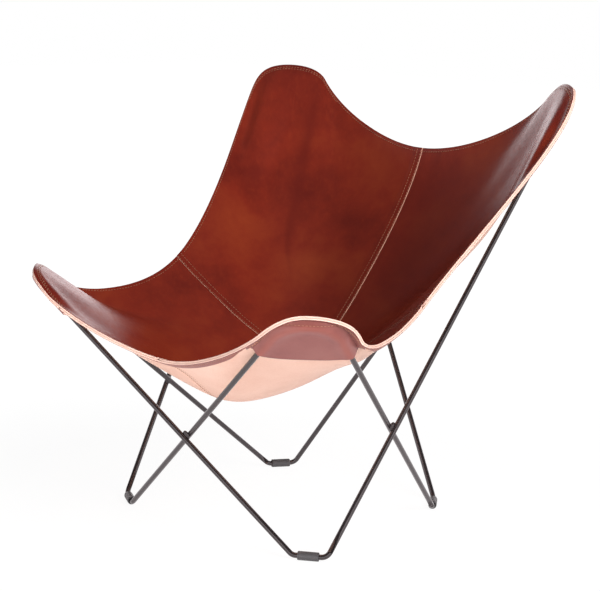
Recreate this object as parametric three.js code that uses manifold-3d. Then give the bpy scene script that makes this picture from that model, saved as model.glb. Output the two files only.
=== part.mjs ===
import * as THREE from 'three';
import { mergeVertices } from 'three/addons/utils/BufferGeometryUtils.js';
import Module from 'manifold-3d';

// Lounge chair: a leather sling hung by four corner pockets on a welded frame of bent rod.
// Millimetres, +Z up. The front faces -Y and +X is the right side seen from the front.
// The origin is on the floor under the middle of the outline.

const fit = 0.3; // clearance between pieces that touch

// Rod frame. An apex is where the centre lines of two legs would meet above a top corner,
// reach is measured sideways from the middle and depth forwards or backwards from it.
const rodRadius = 5.5;
const frontApexReach = 428.5;
const frontApexDepth = 457;
const frontApexHeight = 586;
const backApexReach = 430.5;
const backApexDepth = 454;
const backApexHeight = 1020;
const frontFootInnerReach = 232; // this end's leg climbs to the front corner
const frontFootInnerDepth = 257;
const frontFootOuterDepth = 221; // this end's leg climbs to the back corner
const backFootOuterReach = 232; // this end's leg climbs to the front corner
const backFootOuterDepth = 184;
const backFootInnerReach = 197; // this end's leg climbs to the back corner
const backFootInnerDepth = 235;
const frontBendRadius = 69;
const backBendRadius = 56;
const footBendRadius = 18;

// Foot sleeves: tubes round the rod ends, flattened underneath where they stand.
const sleeveRadius = 9;
const sleeveDrop = 8.5; // from the rod's centre line to the floor
const sleeveLength = 42;

// Weld beads where the rods cross: half sizes, and how far they sit up the corner.
const weldHeight = 11;
const weldWidth = 8;
const weldDepth = 5;
const weldRise = 4;

// Leather. The saddle is where it rides over a rod, the drop where a pocket goes under one.
const leather = 4;
const stripWidth = 25; // border strip under the free edges
const stripEndGap = 4;
const saddleRoom = 1.6;
const saddleFlat = 8; // beside the rod's centre line
const saddleReach = 26;
const dropStart = 13; // beside the rod's centre line
const dropEnd = 8;
const pocketRoom = 0.9;
const pocketStitchWidth = 13; // stitched border, past which a pocket leaves the sling
const pocketLeaveWidth = 12;

// Edge of the sling, right half. Along is down a corner from its apex, across is square to
// that in the plane of the two legs, lift is towards the sitter, turn is the edge's angle.
const frontEdgeDepth = 388;
const frontEdgeHeight = 378;
const frontInner = { along: 151, across: -85, lift: -1 };
const frontInnerTurnDegrees = 32;
const frontTip = { along: 107, across: -6, lift: 9 };
const frontOuter = { along: 181, across: 105, lift: 9 };
const frontOuterTurnDegrees = 20;
const sideLowReach = 380;
const sideLowDepth = 204;
const sideLowHeight = 445;
const sideLowTurnDegrees = 17;
const sideMidReach = 347;
const sideMidDepth = 16;
const sideMidHeight = 500;
const sideMidClimbDegrees = 36;
const sideMidTurnDegrees = -2;
const backOuter = { along: 200, across: 102, lift: -1 };
const backOuterTurnDegrees = 17;
const backTip = { along: 131, across: 13, lift: 9 };
const backInner = { along: 166, across: -73, lift: 9 };
const backInnerTurnDegrees = 27;
const backEdgeDepth = 413;
const backEdgeHeight = 746;
const edgeHandleShares = [
  [0.26, 0.26], [0.55, 0.32], [0.55, 0.39], [0.26, 0.26], [0.31, 0.39],
  [0.26, 0.26], [0.39, 0.55], [0.52, 0.26], [0.27, 0.34],
];

// Seat centre, where the four panels meet, and how the leather leaves the edge and the centre.
const seatDepth = 44.7;
const seatHeight = 311.5;
const seatTiltShare = 0.563;
const frontSlopeDegrees = 21.2;
const frontCornerSlopeDegrees = 18;
const sideSlopeDegrees = 38.5;
const backCornerSlopeDegrees = 4.9;
const backSlopeDegrees = 74.65;
// Order: front middle, front corner, side middle, back corner, back middle.
const edgeEaseShares = [0.437, 0.051, 0.09, 0.134, 0.21];
const seatEaseShares = [0.737, 0.361, 0.25, 0.464, 0.25];

// Towards the centre each curve of the seat is evened out with those on either side of it.
const evenDegrees = 30; // how far round the centre, at the centre itself
const evenStartShare = 0.05; // of the way from the edge, where it begins
const evenSamples = 6; // on each side
const evenSampleShare = 0.5; // of the spread, from one sample to the next

// Open edge of a pocket: how far along the corner it lies, in its middle and at its sides.
const frontPocketMiddle = 236;
const frontPocketSide = 196;
const frontPocketHalfWidth = 112;
const backPocketMiddle = 262;
const backPocketSide = 222;
const backPocketHalfWidth = 116;
const pocketShortest = 22; // its two short sides
const pocketEdgePower = 3.5;

// The loops are drawn symmetric and slid apart along Y; the sling's corners follow them.
const slipReach = 200; // sideways from the middle, from here on a corner slips whole
const slipDepth = 250;

// Sides and steps of the faceted surfaces.
const rodSides = 10;
const topBendSteps = 14;
const footBendSteps = 5;
const sleeveSides = 24;
const boreSides = 16;
const beadSides = 12;
const edgeSteps = [4, 7, 7, 4, 4, 6, 8, 8, 5];
const borderShares = [0, 0.2, 0.42, 0.68, 1, 1.6, 2.5, 3.9, 5.5]; // of the strip's width
const bowlShares = [0.17, 0.38, 0.61, 0.83]; // of the rest of the way to the seat centre
const rowGap = 1.5; // least distance between rows of a pocket
const rayStep = 5;
const spokeSteps = 16;
const ringSteps = 16;
const weldBarShare = 4; // of a bead's height, so that the room cut for a rod goes right through

const V = (x, y, z) => new THREE.Vector3(x, y, z);
const unit = (v) => v.clone().normalize();
const minus = (a, b) => a.clone().sub(b);
const cross = (a, b) => a.clone().cross(b);
const mix = (a, b, t) => a.clone().lerp(b, t);
const move = (p, way, length) => p.clone().addScaledVector(way, length);
const slide = (p, length) => V(p.x, p.y + length, p.z);
const mirror = (p) => V(-p.x, p.y, p.z);
const toward = (p, q, length) => move(p, unit(minus(q, p)), length);
const rad = THREE.MathUtils.degToRad;
const ease = (t) => THREE.MathUtils.smoothstep(t, 0, 1);

// Apexes and foot corners on the right-hand side, before the loops are slid apart.
const frontApex = V(frontApexReach, -frontApexDepth, frontApexHeight);
const backApex = V(backApexReach, backApexDepth, backApexHeight);
const frontInnerFoot = V(frontFootInnerReach, -frontFootInnerDepth, sleeveDrop);
const backOuterFoot = V(backFootOuterReach, backFootOuterDepth, sleeveDrop);
const backInnerFoot = V(backFootInnerReach, backFootInnerDepth, sleeveDrop);
const rodSpacing = 2 * rodRadius + fit; // between the centre lines of crossing rods

// A leg and its mirror image meet in the middle plane. Half the rod spacing, measured
// square to both, is this much along Y.
function halfCrossing(apex, foot) {
  const leg = minus(foot, mirror(apex));
  return rodSpacing / 2 * Math.hypot(leg.y, leg.z) / Math.abs(leg.z);
}
const loopSlide = Math.max(
  halfCrossing(frontApex, frontInnerFoot),
  halfCrossing(backApex, backInnerFoot),
);

// The outer end of a front foot lies where the leg from it to the back corner passes just
// outside the other loop's leg. That leg's plane is tangent to a tube round the other leg.
function frontOuterFoot(side) {
  const top = slide(backApex, -side * loopSlide);
  const other = slide(frontApex, side * loopSlide);
  const otherWay = unit(minus(frontApex, backOuterFoot));
  const gap = minus(top, other);
  const square = move(gap, otherWay, -gap.dot(otherWay));
  const near = rodSpacing / square.length();
  const normal = unit(square).multiplyScalar(near);
  normal.addScaledVector(cross(unit(square), otherWay), Math.sqrt(1 - near * near));
  const dy = -frontFootOuterDepth - backApex.y;
  const dz = sleeveDrop - backApex.z;
  return V(top.x - (dy * normal.y + dz * normal.z) / normal.x, -frontFootOuterDepth, sleeveDrop);
}

// The corners of one loop in their real places: front and back apex, then the ends of its
// front foot and of its back foot.
function loopCorners(side) {
  const place = (p) => slide(V(side * p.x, p.y, p.z), -side * loopSlide);
  return {
    frontApex: place(mirror(frontApex)),
    backApex: place(backApex),
    frontInner: place(frontInnerFoot),
    frontOuter: place(frontOuterFoot(side)),
    backOuter: place(mirror(backOuterFoot)),
    backInner: place(mirror(backInnerFoot)),
  };
}

// A path of stations, each a point with its tangent, one per step of the extrusion.
class StationPath extends THREE.Curve {
  constructor(stations) {
    super();
    this.stations = stations;
  }

  at(u) {
    return this.stations[Math.round(u * (this.stations.length - 1))];
  }

  getPointAt(u, target = new THREE.Vector3()) {
    return target.copy(this.at(u).point);
  }

  getTangentAt(u, target = new THREE.Vector3()) {
    return target.copy(this.at(u).way);
  }
}

// Straight runs between the points, with a round bend at each point between the ends.
function bentPath(points, bends) {
  const last = points.length - 1;
  const stations = [{ point: points[0], way: unit(minus(points[1], points[0])) }];
  bends.forEach(({ radius, steps }, i) => {
    const point = points[i + 1];
    const back = unit(minus(points[i], point));
    const ahead = unit(minus(points[i + 2], point));
    const halfAngle = back.angleTo(ahead) / 2;
    const inward = unit(back.clone().add(ahead));
    const centre = move(point, inward, radius / Math.sin(halfAngle));
    const way = unit(minus(ahead, back));
    for (let k = 0; k <= steps; k++) {
      const turn = (Math.PI / 2 - halfAngle) * (2 * k / steps - 1);
      const out = inward.clone().multiplyScalar(-Math.cos(turn)).addScaledVector(way, Math.sin(turn));
      const tangent = inward.clone().multiplyScalar(Math.sin(turn)).addScaledVector(way, Math.cos(turn));
      stations.push({ point: move(centre, out, radius), way: tangent });
    }
  });
  stations.push({ point: points[last], way: unit(minus(points[last], points[last - 1])) });
  return new StationPath(stations);
}

function circlePoints(radius, sides, start = 0, end = 2 * Math.PI, count = sides) {
  return Array.from({ length: count }, (_, i) => {
    const angle = start + (end - start) * i / sides;
    return new THREE.Vector2(radius * Math.cos(angle), radius * Math.sin(angle));
  });
}

const materials = {
  rod: new THREE.MeshStandardMaterial({ color: 0x16161a, roughness: 0.35, metalness: 0.6 }),
  sleeve: new THREE.MeshStandardMaterial({ color: 0x3a3a3e, roughness: 0.7, metalness: 0.1 }),
  sling: new THREE.MeshStandardMaterial({ color: 0x7a2f22, roughness: 0.4, metalness: 0 }),
  lining: new THREE.MeshStandardMaterial({ color: 0xc99a84, roughness: 0.75, metalness: 0 }),
};

function namedMesh(name, geometry, material) {
  const mesh = new THREE.Mesh(geometry, material.clone());
  mesh.name = name;
  return mesh;
}

// The middle of the straight stretch of a foot, between the bends at its two corners.
function footMiddle({ inner, innerApex, outer, outerApex }) {
  const bendStart = (point, next, apex) => {
    const halfAngle = minus(next, point).angleTo(minus(apex, point)) / 2;
    return toward(point, next, footBendRadius / Math.tan(halfAngle));
  };
  return mix(bendStart(inner, outer, innerApex), bendStart(outer, inner, outerApex), 0.5);
}

// One bent rod: from the middle of one foot up to a top corner and down to another foot.
function rod(name, [startFoot, startCorner], apex, [endFoot, endCorner], topRadius) {
  const start = toward(footMiddle(startFoot), startCorner, fit / 2);
  const end = toward(footMiddle(endFoot), endCorner, fit / 2);
  const foot = { radius: footBendRadius, steps: footBendSteps };
  const path = bentPath(
    [start, startCorner, apex, endCorner, end],
    [foot, { radius: topRadius, steps: topBendSteps }, foot],
  );
  const geometry = new THREE.ExtrudeGeometry(new THREE.Shape(circlePoints(rodRadius, rodSides)), {
    steps: path.stations.length - 1,
    extrudePath: path,
  });
  return namedMesh(name, geometry, materials.rod);
}

// The two feet of a loop. Each joins an inner and an outer corner of the footprint.
function loopFeet(c) {
  return {
    front: {
      inner: c.frontInner, innerApex: c.frontApex, outer: c.frontOuter, outerApex: c.backApex,
    },
    back: {
      inner: c.backInner, innerApex: c.backApex, outer: c.backOuter, outerApex: c.frontApex,
    },
  };
}

const sideNames = (side) => (side > 0 ? ['left', 'right'] : ['right', 'left']);

function loopRods(side) {
  const c = loopCorners(side);
  const { front, back } = loopFeet(c);
  const [near, far] = sideNames(side);
  return [
    rod(
      `rod_front_${near}`,
      [back, back.outer], c.frontApex, [front, front.inner], frontBendRadius,
    ),
    rod(
      `rod_back_${far}`,
      [front, front.outer], c.backApex, [back, back.inner], backBendRadius,
    ),
  ];
}

// A tube round the middle of a foot, with a flat underneath, lying along the foot.
function sleeve(name, foot) {
  const flat = Math.asin(sleeveDrop / sleeveRadius);
  const shape = new THREE.Shape(
    circlePoints(sleeveRadius, sleeveSides, -flat, Math.PI + flat, sleeveSides + 1),
  );
  const boreRadius = (rodRadius + fit) / Math.cos(Math.PI / boreSides);
  shape.holes.push(new THREE.Path(circlePoints(boreRadius, boreSides)));
  const geometry = new THREE.ExtrudeGeometry(shape, { depth: sleeveLength, bevelEnabled: false });
  geometry.translate(0, 0, -sleeveLength / 2);
  const mesh = namedMesh(name, geometry, materials.sleeve);
  const up = V(0, 0, 1);
  const way = unit(minus(foot.outer, foot.inner));
  mesh.position.copy(footMiddle(foot));
  mesh.quaternion.setFromRotationMatrix(new THREE.Matrix4().makeBasis(cross(up, way), up, way));
  return mesh;
}

function loopSleeves(side) {
  const { front, back } = loopFeet(loopCorners(side));
  const [near, far] = sideNames(side);
  return [sleeve(`sleeve_front_${far}`, front), sleeve(`sleeve_back_${near}`, back)];
}

const wasm = await Module();
wasm.setup();

function toSolid(geometry) {
  const bare = geometry.clone();
  bare.deleteAttribute('normal');
  bare.deleteAttribute('uv');
  const merged = mergeVertices(bare);
  return new wasm.Manifold(new wasm.Mesh({
    numProp: 3,
    vertProperties: Float32Array.from(merged.attributes.position.array),
    triVerts: Uint32Array.from(merged.index.array),
  }));
}

function toGeometry(solid) {
  const mesh = solid.getMesh();
  const geometry = new THREE.BufferGeometry();
  geometry.setAttribute('position', new THREE.BufferAttribute(mesh.vertProperties, mesh.numProp));
  geometry.setIndex(new THREE.BufferAttribute(mesh.triVerts, 1));
  return geometry;
}

// The points where two straight legs pass closest to each other.
function closestPoints(legA, legB) {
  const wayA = unit(minus(legA[1], legA[0]));
  const wayB = unit(minus(legB[1], legB[0]));
  const gap = minus(legB[0], legA[0]);
  const lean = wayA.dot(wayB);
  const alongA = (gap.dot(wayA) - lean * gap.dot(wayB)) / (1 - lean * lean);
  const pointA = move(legA[0], wayA, alongA);
  const pointB = move(legB[0], wayB, minus(pointA, legB[0]).dot(wayB));
  return { pointA, pointB, wayA, wayB };
}

// A weld bead: a flat ball between two crossing rods, with room for both cut out of it.
// Each leg is given from its foot to its apex.
function weld(name, legA, legB) {
  const { pointA, pointB, wayA, wayB } = closestPoints(legA, legB);
  const up = unit(wayA.clone().add(wayB));
  const through = unit(minus(pointB, pointA));
  const basis = new THREE.Matrix4().makeBasis(cross(up, through), up, through);
  const middle = mix(pointA, pointB, 0.5);
  const ball = new THREE.SphereGeometry(1, beadSides, beadSides);
  ball.scale(weldWidth, weldHeight, weldDepth).applyMatrix4(basis);
  const offset = up.clone().multiplyScalar(weldRise);
  ball.translate(offset.x, offset.y, offset.z);
  const room = (pointA.distanceTo(pointB) + fit) / 2 / Math.cos(Math.PI / sleeveSides);
  const cut = (point, way) => {
    const bar = new THREE.CylinderGeometry(room, room, weldBarShare * weldHeight, sleeveSides);
    bar.applyQuaternion(new THREE.Quaternion().setFromUnitVectors(V(0, 1, 0), way));
    const at = minus(point, middle);
    return toSolid(bar.translate(at.x, at.y, at.z));
  };
  const solid = toSolid(ball).subtract(cut(pointA, wayA)).subtract(cut(pointB, wayB));
  const mesh = namedMesh(name, toGeometry(solid), materials.rod);
  mesh.position.copy(middle);
  return mesh;
}

function welds() {
  const a = loopCorners(1);
  const b = loopCorners(-1);
  return [
    weld('weld_front', [a.frontInner, a.frontApex], [b.frontInner, b.frontApex]),
    weld('weld_back', [a.backInner, a.backApex], [b.backInner, b.backApex]),
    weld('weld_right', [a.frontOuter, a.backApex], [b.backOuter, b.frontApex]),
    weld('weld_left', [b.frontOuter, b.backApex], [a.backOuter, a.frontApex]),
  ];
}

// A top corner of the frame: its apex, the way down between its legs, across them and up
// from their plane, half the angle between the legs, and the bend that rounds them.
function corner(apex, midLeg, sideLeg, bend) {
  const mid = unit(minus(midLeg, apex));
  const side = unit(minus(sideLeg, apex));
  const down = unit(mid.clone().add(side));
  const across = unit(minus(side, mid));
  const lift = cross(down, across);
  if (lift.z < 0) lift.negate();
  return { apex, down, across, lift, bend, halfAngle: mid.angleTo(side) / 2 };
}

function inCorner(c, p) {
  const d = minus(p, c.apex);
  return { along: d.dot(c.down), across: d.dot(c.across), lift: d.dot(c.lift) };
}

function fromCorner(c, { along, across, lift }) {
  return move(move(move(c.apex, c.down, along), c.across, across), c.lift, lift);
}

// How far outside the rods' centre line a place in the corner's plane lies. Inside is
// negative. The rounded corner is a sharp one, set back to the bend's centre, and widened.
function outsideRods(c, { along, across }) {
  const past = along - c.bend / Math.sin(c.halfAngle);
  const wide = Math.abs(across);
  const down = past * Math.cos(c.halfAngle) + wide * Math.sin(c.halfAngle);
  const out = wide * Math.cos(c.halfAngle) - past * Math.sin(c.halfAngle);
  return (down < 0 ? Math.hypot(past, wide) : out) - c.bend;
}

function slopeWay(c, degrees) {
  const slope = rad(degrees);
  return c.down.clone().multiplyScalar(Math.cos(slope)).addScaledVector(c.lift, Math.sin(slope));
}

// Direction of the sling's edge at a knot of a corner, turned from across towards down.
function edgeWay(c, acrossSign, downSign, degrees) {
  const turn = rad(degrees);
  return c.across.clone().multiplyScalar(acrossSign * Math.sin(turn))
    .addScaledVector(c.down, downSign * Math.cos(turn));
}

// The sling's right half, symmetric, before its corners slip with the loops.
function slingHalf(side) {
  const front = corner(frontApex, mirror(frontInnerFoot), backOuterFoot, frontBendRadius);
  const back = corner(backApex, mirror(backInnerFoot), frontOuterFoot(side), backBendRadius);
  const climb = rad(sideMidClimbDegrees);
  const level = rad(sideMidTurnDegrees);
  const low = rad(sideLowTurnDegrees);
  const knots = [
    { point: V(0, -frontEdgeDepth, frontEdgeHeight), way: V(1, 0, 0) },
    { point: fromCorner(front, frontInner), way: edgeWay(front, 1, -1, frontInnerTurnDegrees) },
    { point: fromCorner(front, frontTip), way: front.across },
    { point: fromCorner(front, frontOuter), way: edgeWay(front, 1, 1, frontOuterTurnDegrees) },
    {
      point: V(sideLowReach, -sideLowDepth, sideLowHeight),
      way: V(-Math.sin(low), Math.cos(low), 0),
    },
    {
      point: V(sideMidReach, -sideMidDepth, sideMidHeight),
      way: V(Math.sin(level) * Math.cos(climb), Math.cos(level) * Math.cos(climb), Math.sin(climb)),
    },
    { point: fromCorner(back, backOuter), way: edgeWay(back, -1, -1, backOuterTurnDegrees) },
    { point: fromCorner(back, backTip), way: back.across.clone().negate() },
    { point: fromCorner(back, backInner), way: edgeWay(back, -1, 1, backInnerTurnDegrees) },
    { point: V(0, backEdgeDepth, backEdgeHeight), way: V(-1, 0, 0) },
  ];
  const fall = (x, y, degrees) => {
    return V(x * Math.cos(rad(degrees)), y * Math.cos(rad(degrees)), -Math.sin(rad(degrees)));
  };
  const stations = [
    { knot: 0, way: fall(0, 1, frontSlopeDegrees), order: 0 },
    { knot: 1, way: slopeWay(front, frontCornerSlopeDegrees), order: 1 },
    { knot: 3, way: slopeWay(front, frontCornerSlopeDegrees), order: 1 },
    { knot: 5, way: fall(-1, 0, sideSlopeDegrees), order: 2 },
    { knot: 6, way: slopeWay(back, backCornerSlopeDegrees), order: 3 },
    { knot: 8, way: slopeWay(back, backCornerSlopeDegrees), order: 3 },
    { knot: 9, way: fall(0, -1, backSlopeDegrees), order: 4 },
  ];
  const half = { side, front, back, knots, stations };
  half.ring = spokeRing(half);
  return half;
}

function edgePoint(half, t) {
  const i = Math.min(Math.floor(t), half.knots.length - 2);
  const [a, b] = [half.knots[i], half.knots[i + 1]];
  const chord = a.point.distanceTo(b.point);
  const [out, into] = edgeHandleShares[i];
  return new THREE.CubicBezierCurve3(
    a.point, move(a.point, a.way, chord * out), move(b.point, b.way, -chord * into), b.point,
  ).getPoint(t - i);
}

// The curve of the seat from the edge to the seat centre. It leaves the edge in a way that
// eases from station to station and reaches the centre nearly level.
function seatRay(half, t) {
  const i = half.stations.findLastIndex((s) => s.knot <= t && s.knot < edgeSteps.length);
  const [a, b] = [half.stations[i], half.stations[i + 1]];
  const share = ease((t - a.knot) / (b.knot - a.knot));
  const way = unit(mix(a.way, b.way, share));
  const blend = (shares) => THREE.MathUtils.lerp(shares[a.order], shares[b.order], share);
  const edge = edgePoint(half, t);
  const centre = V(0, seatDepth, seatHeight);
  const length = edge.distanceTo(centre);
  const level = unit(V(edge.x, edge.y - centre.y, 0));
  level.z = level.y * seatTiltShare;
  return new THREE.CubicBezierCurve3(
    edge,
    move(edge, way, length * blend(edgeEaseShares)),
    move(centre, unit(level), length * blend(seatEaseShares)),
    centre,
  );
}

// The heading of an edge station from the seat centre: 0 is the front, a half turn the back.
function heading(half, t) {
  const edge = edgePoint(half, t);
  return Math.atan2(edge.x, seatDepth - edge.y);
}

// The seat's curves all round the half, each as evenly spaced points.
function spokeRing(half) {
  return Array.from({ length: edgeSteps.length * ringSteps + 1 }, (_, i) => {
    const t = i / ringSteps;
    return { turn: heading(half, t), points: seatRay(half, t).getSpacedPoints(spokeSteps) };
  });
}

// The point at a heading, some steps along the curve there. Past the middle it is mirrored.
function onRing(ring, turn, step) {
  const inside = turn >= 0 && turn <= Math.PI;
  const folded = turn > Math.PI ? 2 * Math.PI - turn : Math.abs(turn);
  const after = THREE.MathUtils.clamp(ring.findIndex((s) => s.turn >= folded), 1, ring.length - 1);
  const [a, b] = [ring[after - 1], ring[after]];
  const p = mix(a.points[step], b.points[step], (folded - a.turn) / (b.turn - a.turn));
  return inside ? p : mirror(p);
}

// A curve of the seat, each point of it a weighted mean of its neighbours at both sides.
function spoke(half, t) {
  const turn = heading(half, t);
  const points = seatRay(half, t).getSpacedPoints(spokeSteps).map((own, step) => {
    const amount = ease((step / spokeSteps - evenStartShare) / (1 - evenStartShare));
    const gap = rad(evenDegrees) * amount * evenSampleShare;
    if (gap === 0) return own;
    const sum = V(0, 0, 0);
    let total = 0;
    for (let k = -evenSamples; k <= evenSamples; k++) {
      const weight = Math.exp(-((k * evenSampleShare) ** 2) / 2);
      sum.addScaledVector(onRing(half.ring, turn + k * gap, step), weight);
      total += weight;
    }
    return sum.divideScalar(total);
  });
  return new THREE.CatmullRomCurve3(points);
}

const edgeStations = edgeSteps.flatMap((steps, i) => {
  return Array.from({ length: steps }, (_, k) => i + k / steps);
}).concat(edgeSteps.length);

// Lifts a point of the sling's upper face where it would cut into a rod.
function overRods(half, p) {
  const full = leather + rodRadius + saddleRoom;
  [half.front, half.back].forEach((c) => {
    const q = inCorner(c, p);
    const beside = Math.abs(outsideRods(c, q));
    const weight = ease((saddleReach - beside) / (saddleReach - saddleFlat));
    const least = THREE.MathUtils.lerp(-leather, full, weight);
    if (weight > 0 && q.lift > -saddleReach && q.lift < least) {
      p.addScaledVector(c.lift, least - q.lift);
    }
  });
  return p;
}

// Puts a point of the symmetric half on its side and slips it with its corner's loop.
function slip(half, p) {
  const amount = ease(Math.abs(p.x) / slipReach) * ease(Math.abs(p.y) / slipDepth);
  return V(half.side * p.x, p.y - half.side * Math.sign(p.y) * loopSlide * amount, p.z);
}

// A grid over the half's upper face: a column for each edge station, a row for each of the
// distances that the column takes from the edge, and the upward normal at each point.
function faceGrid(half, distances) {
  const points = edgeStations.map((t) => {
    const ray = spoke(half, t);
    const length = ray.getLength();
    const at = (d) => slip(half, overRods(half, ray.getPointAt(d / length)));
    return distances(ray, length).map(at);
  });
  const last = points.length - 1;
  const normals = points.map((column, c) => column.map((p, r) => {
    const before = c > 0 ? points[c - 1][r] : mirror(points[1][r]);
    const after = c < last ? points[c + 1][r] : mirror(points[last - 1][r]);
    const inner = column[Math.min(r + 1, column.length - 1)];
    const normal = cross(minus(after, before), minus(inner, column[Math.max(r - 1, 0)]));
    return unit(normal.multiplyScalar(half.side));
  }));
  return { points, normals };
}

const borderRows = borderShares.map((share) => share * stripWidth);

function panelDistances(ray, length) {
  const wide = borderRows.at(-1);
  return [...borderRows, ...bowlShares.map((share) => wide + share * (length - wide)), length];
}

const below = (points, normals, depth) => {
  return points.map((column, c) => column.map((p, r) => move(p, normals[c][r], -depth)));
};

// A closed slab between two grids of the same size. Equal points are one vertex, so a row
// may end in a single point.
function slab(upper, lower) {
  const numbers = new Map();
  const position = [];
  const triangles = [];
  const number = (p) => {
    if (!numbers.has(p)) {
      numbers.set(p, numbers.size);
      position.push(p.x, p.y, p.z);
    }
    return numbers.get(p);
  };
  const triangle = (...points) => {
    const corners = points.map(number);
    if (new Set(corners).size === 3) triangles.push(corners);
  };
  const quad = (a, b, c, d) => {
    triangle(a, b, c);
    triangle(a, c, d);
  };
  const [C, R] = [upper.length - 1, upper[0].length - 1];
  for (let c = 0; c < C; c++) {
    for (let r = 0; r < R; r++) {
      quad(upper[c][r], upper[c + 1][r], upper[c + 1][r + 1], upper[c][r + 1]);
      quad(lower[c][r], lower[c][r + 1], lower[c + 1][r + 1], lower[c + 1][r]);
    }
    quad(upper[c + 1][0], upper[c][0], lower[c][0], lower[c + 1][0]);
    quad(upper[c][R], upper[c + 1][R], lower[c + 1][R], lower[c][R]);
  }
  for (let r = 0; r < R; r++) {
    quad(upper[0][r], upper[0][r + 1], lower[0][r + 1], lower[0][r]);
    quad(upper[C][r + 1], upper[C][r], lower[C][r], lower[C][r + 1]);
  }
  const [p, q, s] = triangles[0].map((i) => V(...position.slice(3 * i, 3 * i + 3)));
  const flipped = cross(minus(q, p), minus(s, p)).dot(minus(upper[0][0], lower[0][0])) < 0;
  const geometry = new THREE.BufferGeometry();
  geometry.setAttribute('position', new THREE.Float32BufferAttribute(position, 3));
  geometry.setIndex(triangles.flatMap(([a, b, c]) => (flipped ? [a, c, b] : [a, b, c])));
  return geometry;
}

// Draws the first and last column of a grid in from its neighbours.
function drawIn(grid, startGap, endGap) {
  const last = grid.length - 1;
  return grid.map((column, c) => column.map((p, r) => {
    if (c === 0 && startGap > 0) return toward(p, grid[1][r], startGap);
    if (c === last && endGap > 0) return toward(p, grid[last - 1][r], endGap);
    return p;
  }));
}

// Ends every column in one point, drawn in diagonally so that four panels stay clear.
function closeCentre(grid) {
  const middle = grid[Math.round(grid.length / 2)];
  const point = toward(middle.at(-1), middle.at(-2), fit * Math.SQRT1_2);
  return grid.map((column) => [...column.slice(0, -1), point]);
}

const sideKnot = 5;
const sideStation = edgeStations.indexOf(sideKnot);

function panels(half, name) {
  const { points, normals } = faceGrid(half, panelDistances);
  const total = normals.reduce((sum, column) => sum.add(column.at(-2)), V(0, 0, 0));
  const centreNormal = unit(total.setX(0));
  normals.forEach((column) => column.splice(-1, 1, centreNormal));
  const lower = below(points, normals, leather);
  const piece = (end, from, to) => {
    const part = (grid) => closeCentre(drawIn(grid.slice(from, to), fit / 2, fit / 2));
    return namedMesh(`panel_${end}_${name}`, slab(part(points), part(lower)), materials.sling);
  };
  return [piece('front', 0, sideStation + 1), piece('back', sideStation)];
}

const pockets = {
  front: { middle: frontPocketMiddle, side: frontPocketSide, halfWidth: frontPocketHalfWidth },
  back: { middle: backPocketMiddle, side: backPocketSide, halfWidth: backPocketHalfWidth },
};

// Distance from the edge, along the seat's curve, at which a pocket's open edge is crossed.
function pocketDepth(half, ray, length, end) {
  const { middle, side, halfWidth } = pockets[end];
  const past = (d) => {
    const q = inCorner(half[end], ray.getPointAt(d / length));
    const share = Math.min(1, Math.abs(q.across) / halfWidth) ** pocketEdgePower;
    return q.along > THREE.MathUtils.lerp(middle, side, share);
  };
  let far = 0;
  while (!past(far) && far < length - rayStep) far += rayStep;
  let near = Math.max(0, far - rayStep);
  while (far - near > fit) {
    const d = (near + far) / 2;
    if (past(d)) {
      far = d;
    } else {
      near = d;
    }
  }
  return far;
}

// The pocket under a corner: parallel to the sling along its stitched border, then under
// the rods and flat between them, down to its open edge.
function pocket(half, name, end) {
  const depths = [];
  const rows = (ray, length) => {
    const depth = pocketDepth(half, ray, length, end);
    depths.push(depth);
    if (depth < pocketShortest) return borderRows;
    const last = borderRows.length - 1;
    return borderRows.map((d, k) => (k < last ? Math.min(d, depth - (last - k) * rowGap) : depth));
  };
  const { points, normals } = faceGrid(half, rows);
  const used = depths.map((d, c) => c).filter((c) => depths[c] >= pocketShortest);
  const inEnd = used.filter((c) => (end === 'front' ? c < sideStation : c > sideStation));
  const cornerHere = half[end];
  const slipped = half.side * Math.sign(cornerHere.apex.y) * loopSlide;
  const swap = (p, shift) => V(half.side * p.x, p.y + shift, p.z);
  const liftWay = V(half.side * cornerHere.lift.x, cornerHere.lift.y, cornerHere.lift.z);
  const under = (p, normal, r) => {
    const q = inCorner(cornerHere, swap(p, slipped));
    const share = Math.max(
      ease((dropStart - outsideRods(cornerHere, q)) / (dropStart - dropEnd)),
      ease((borderRows[r] - pocketStitchWidth) / pocketLeaveWidth),
    );
    const beside = move(p, normal, -leather - fit);
    const beneath = fromCorner(cornerHere, { ...q, lift: -rodRadius - pocketRoom });
    return {
      point: mix(beside, swap(beneath, -slipped), share),
      way: unit(mix(normal, liftWay, share)),
    };
  };
  const faces = inEnd.map((c) => points[c].map((p, r) => under(p, normals[c][r], r)));
  const upper = faces.map((column) => column.map((f) => f.point));
  const lower = faces.map((column) => column.map((f) => move(f.point, f.way, -leather)));
  const mesh = namedMesh(`pocket_${end}_${name}`, slab(upper, lower), materials.lining);
  return { mesh, first: inEnd[0], last: inEnd.at(-1) };
}

// A narrow strip under the sling's free edge, between two pockets.
function strip(name, columns) {
  const upper = columns.map((column) => column.map(({ p, n }) => move(p, n, -leather - fit)));
  const lower = columns.map((column) => column.map(({ p, n }) => move(p, n, -2 * leather - fit)));
  const ends = (grid) => drawIn(grid, stripEndGap, stripEndGap);
  return namedMesh(`strip_${name}`, slab(ends(upper), ends(lower)), materials.lining);
}

function stripRows(half) {
  const count = borderShares.indexOf(1) + 1;
  const { points, normals } = faceGrid(half, () => borderRows.slice(0, count + 1));
  return points.map((column, c) => column.slice(0, count).map((p, r) => ({ p, n: normals[c][r] })));
}

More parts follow.
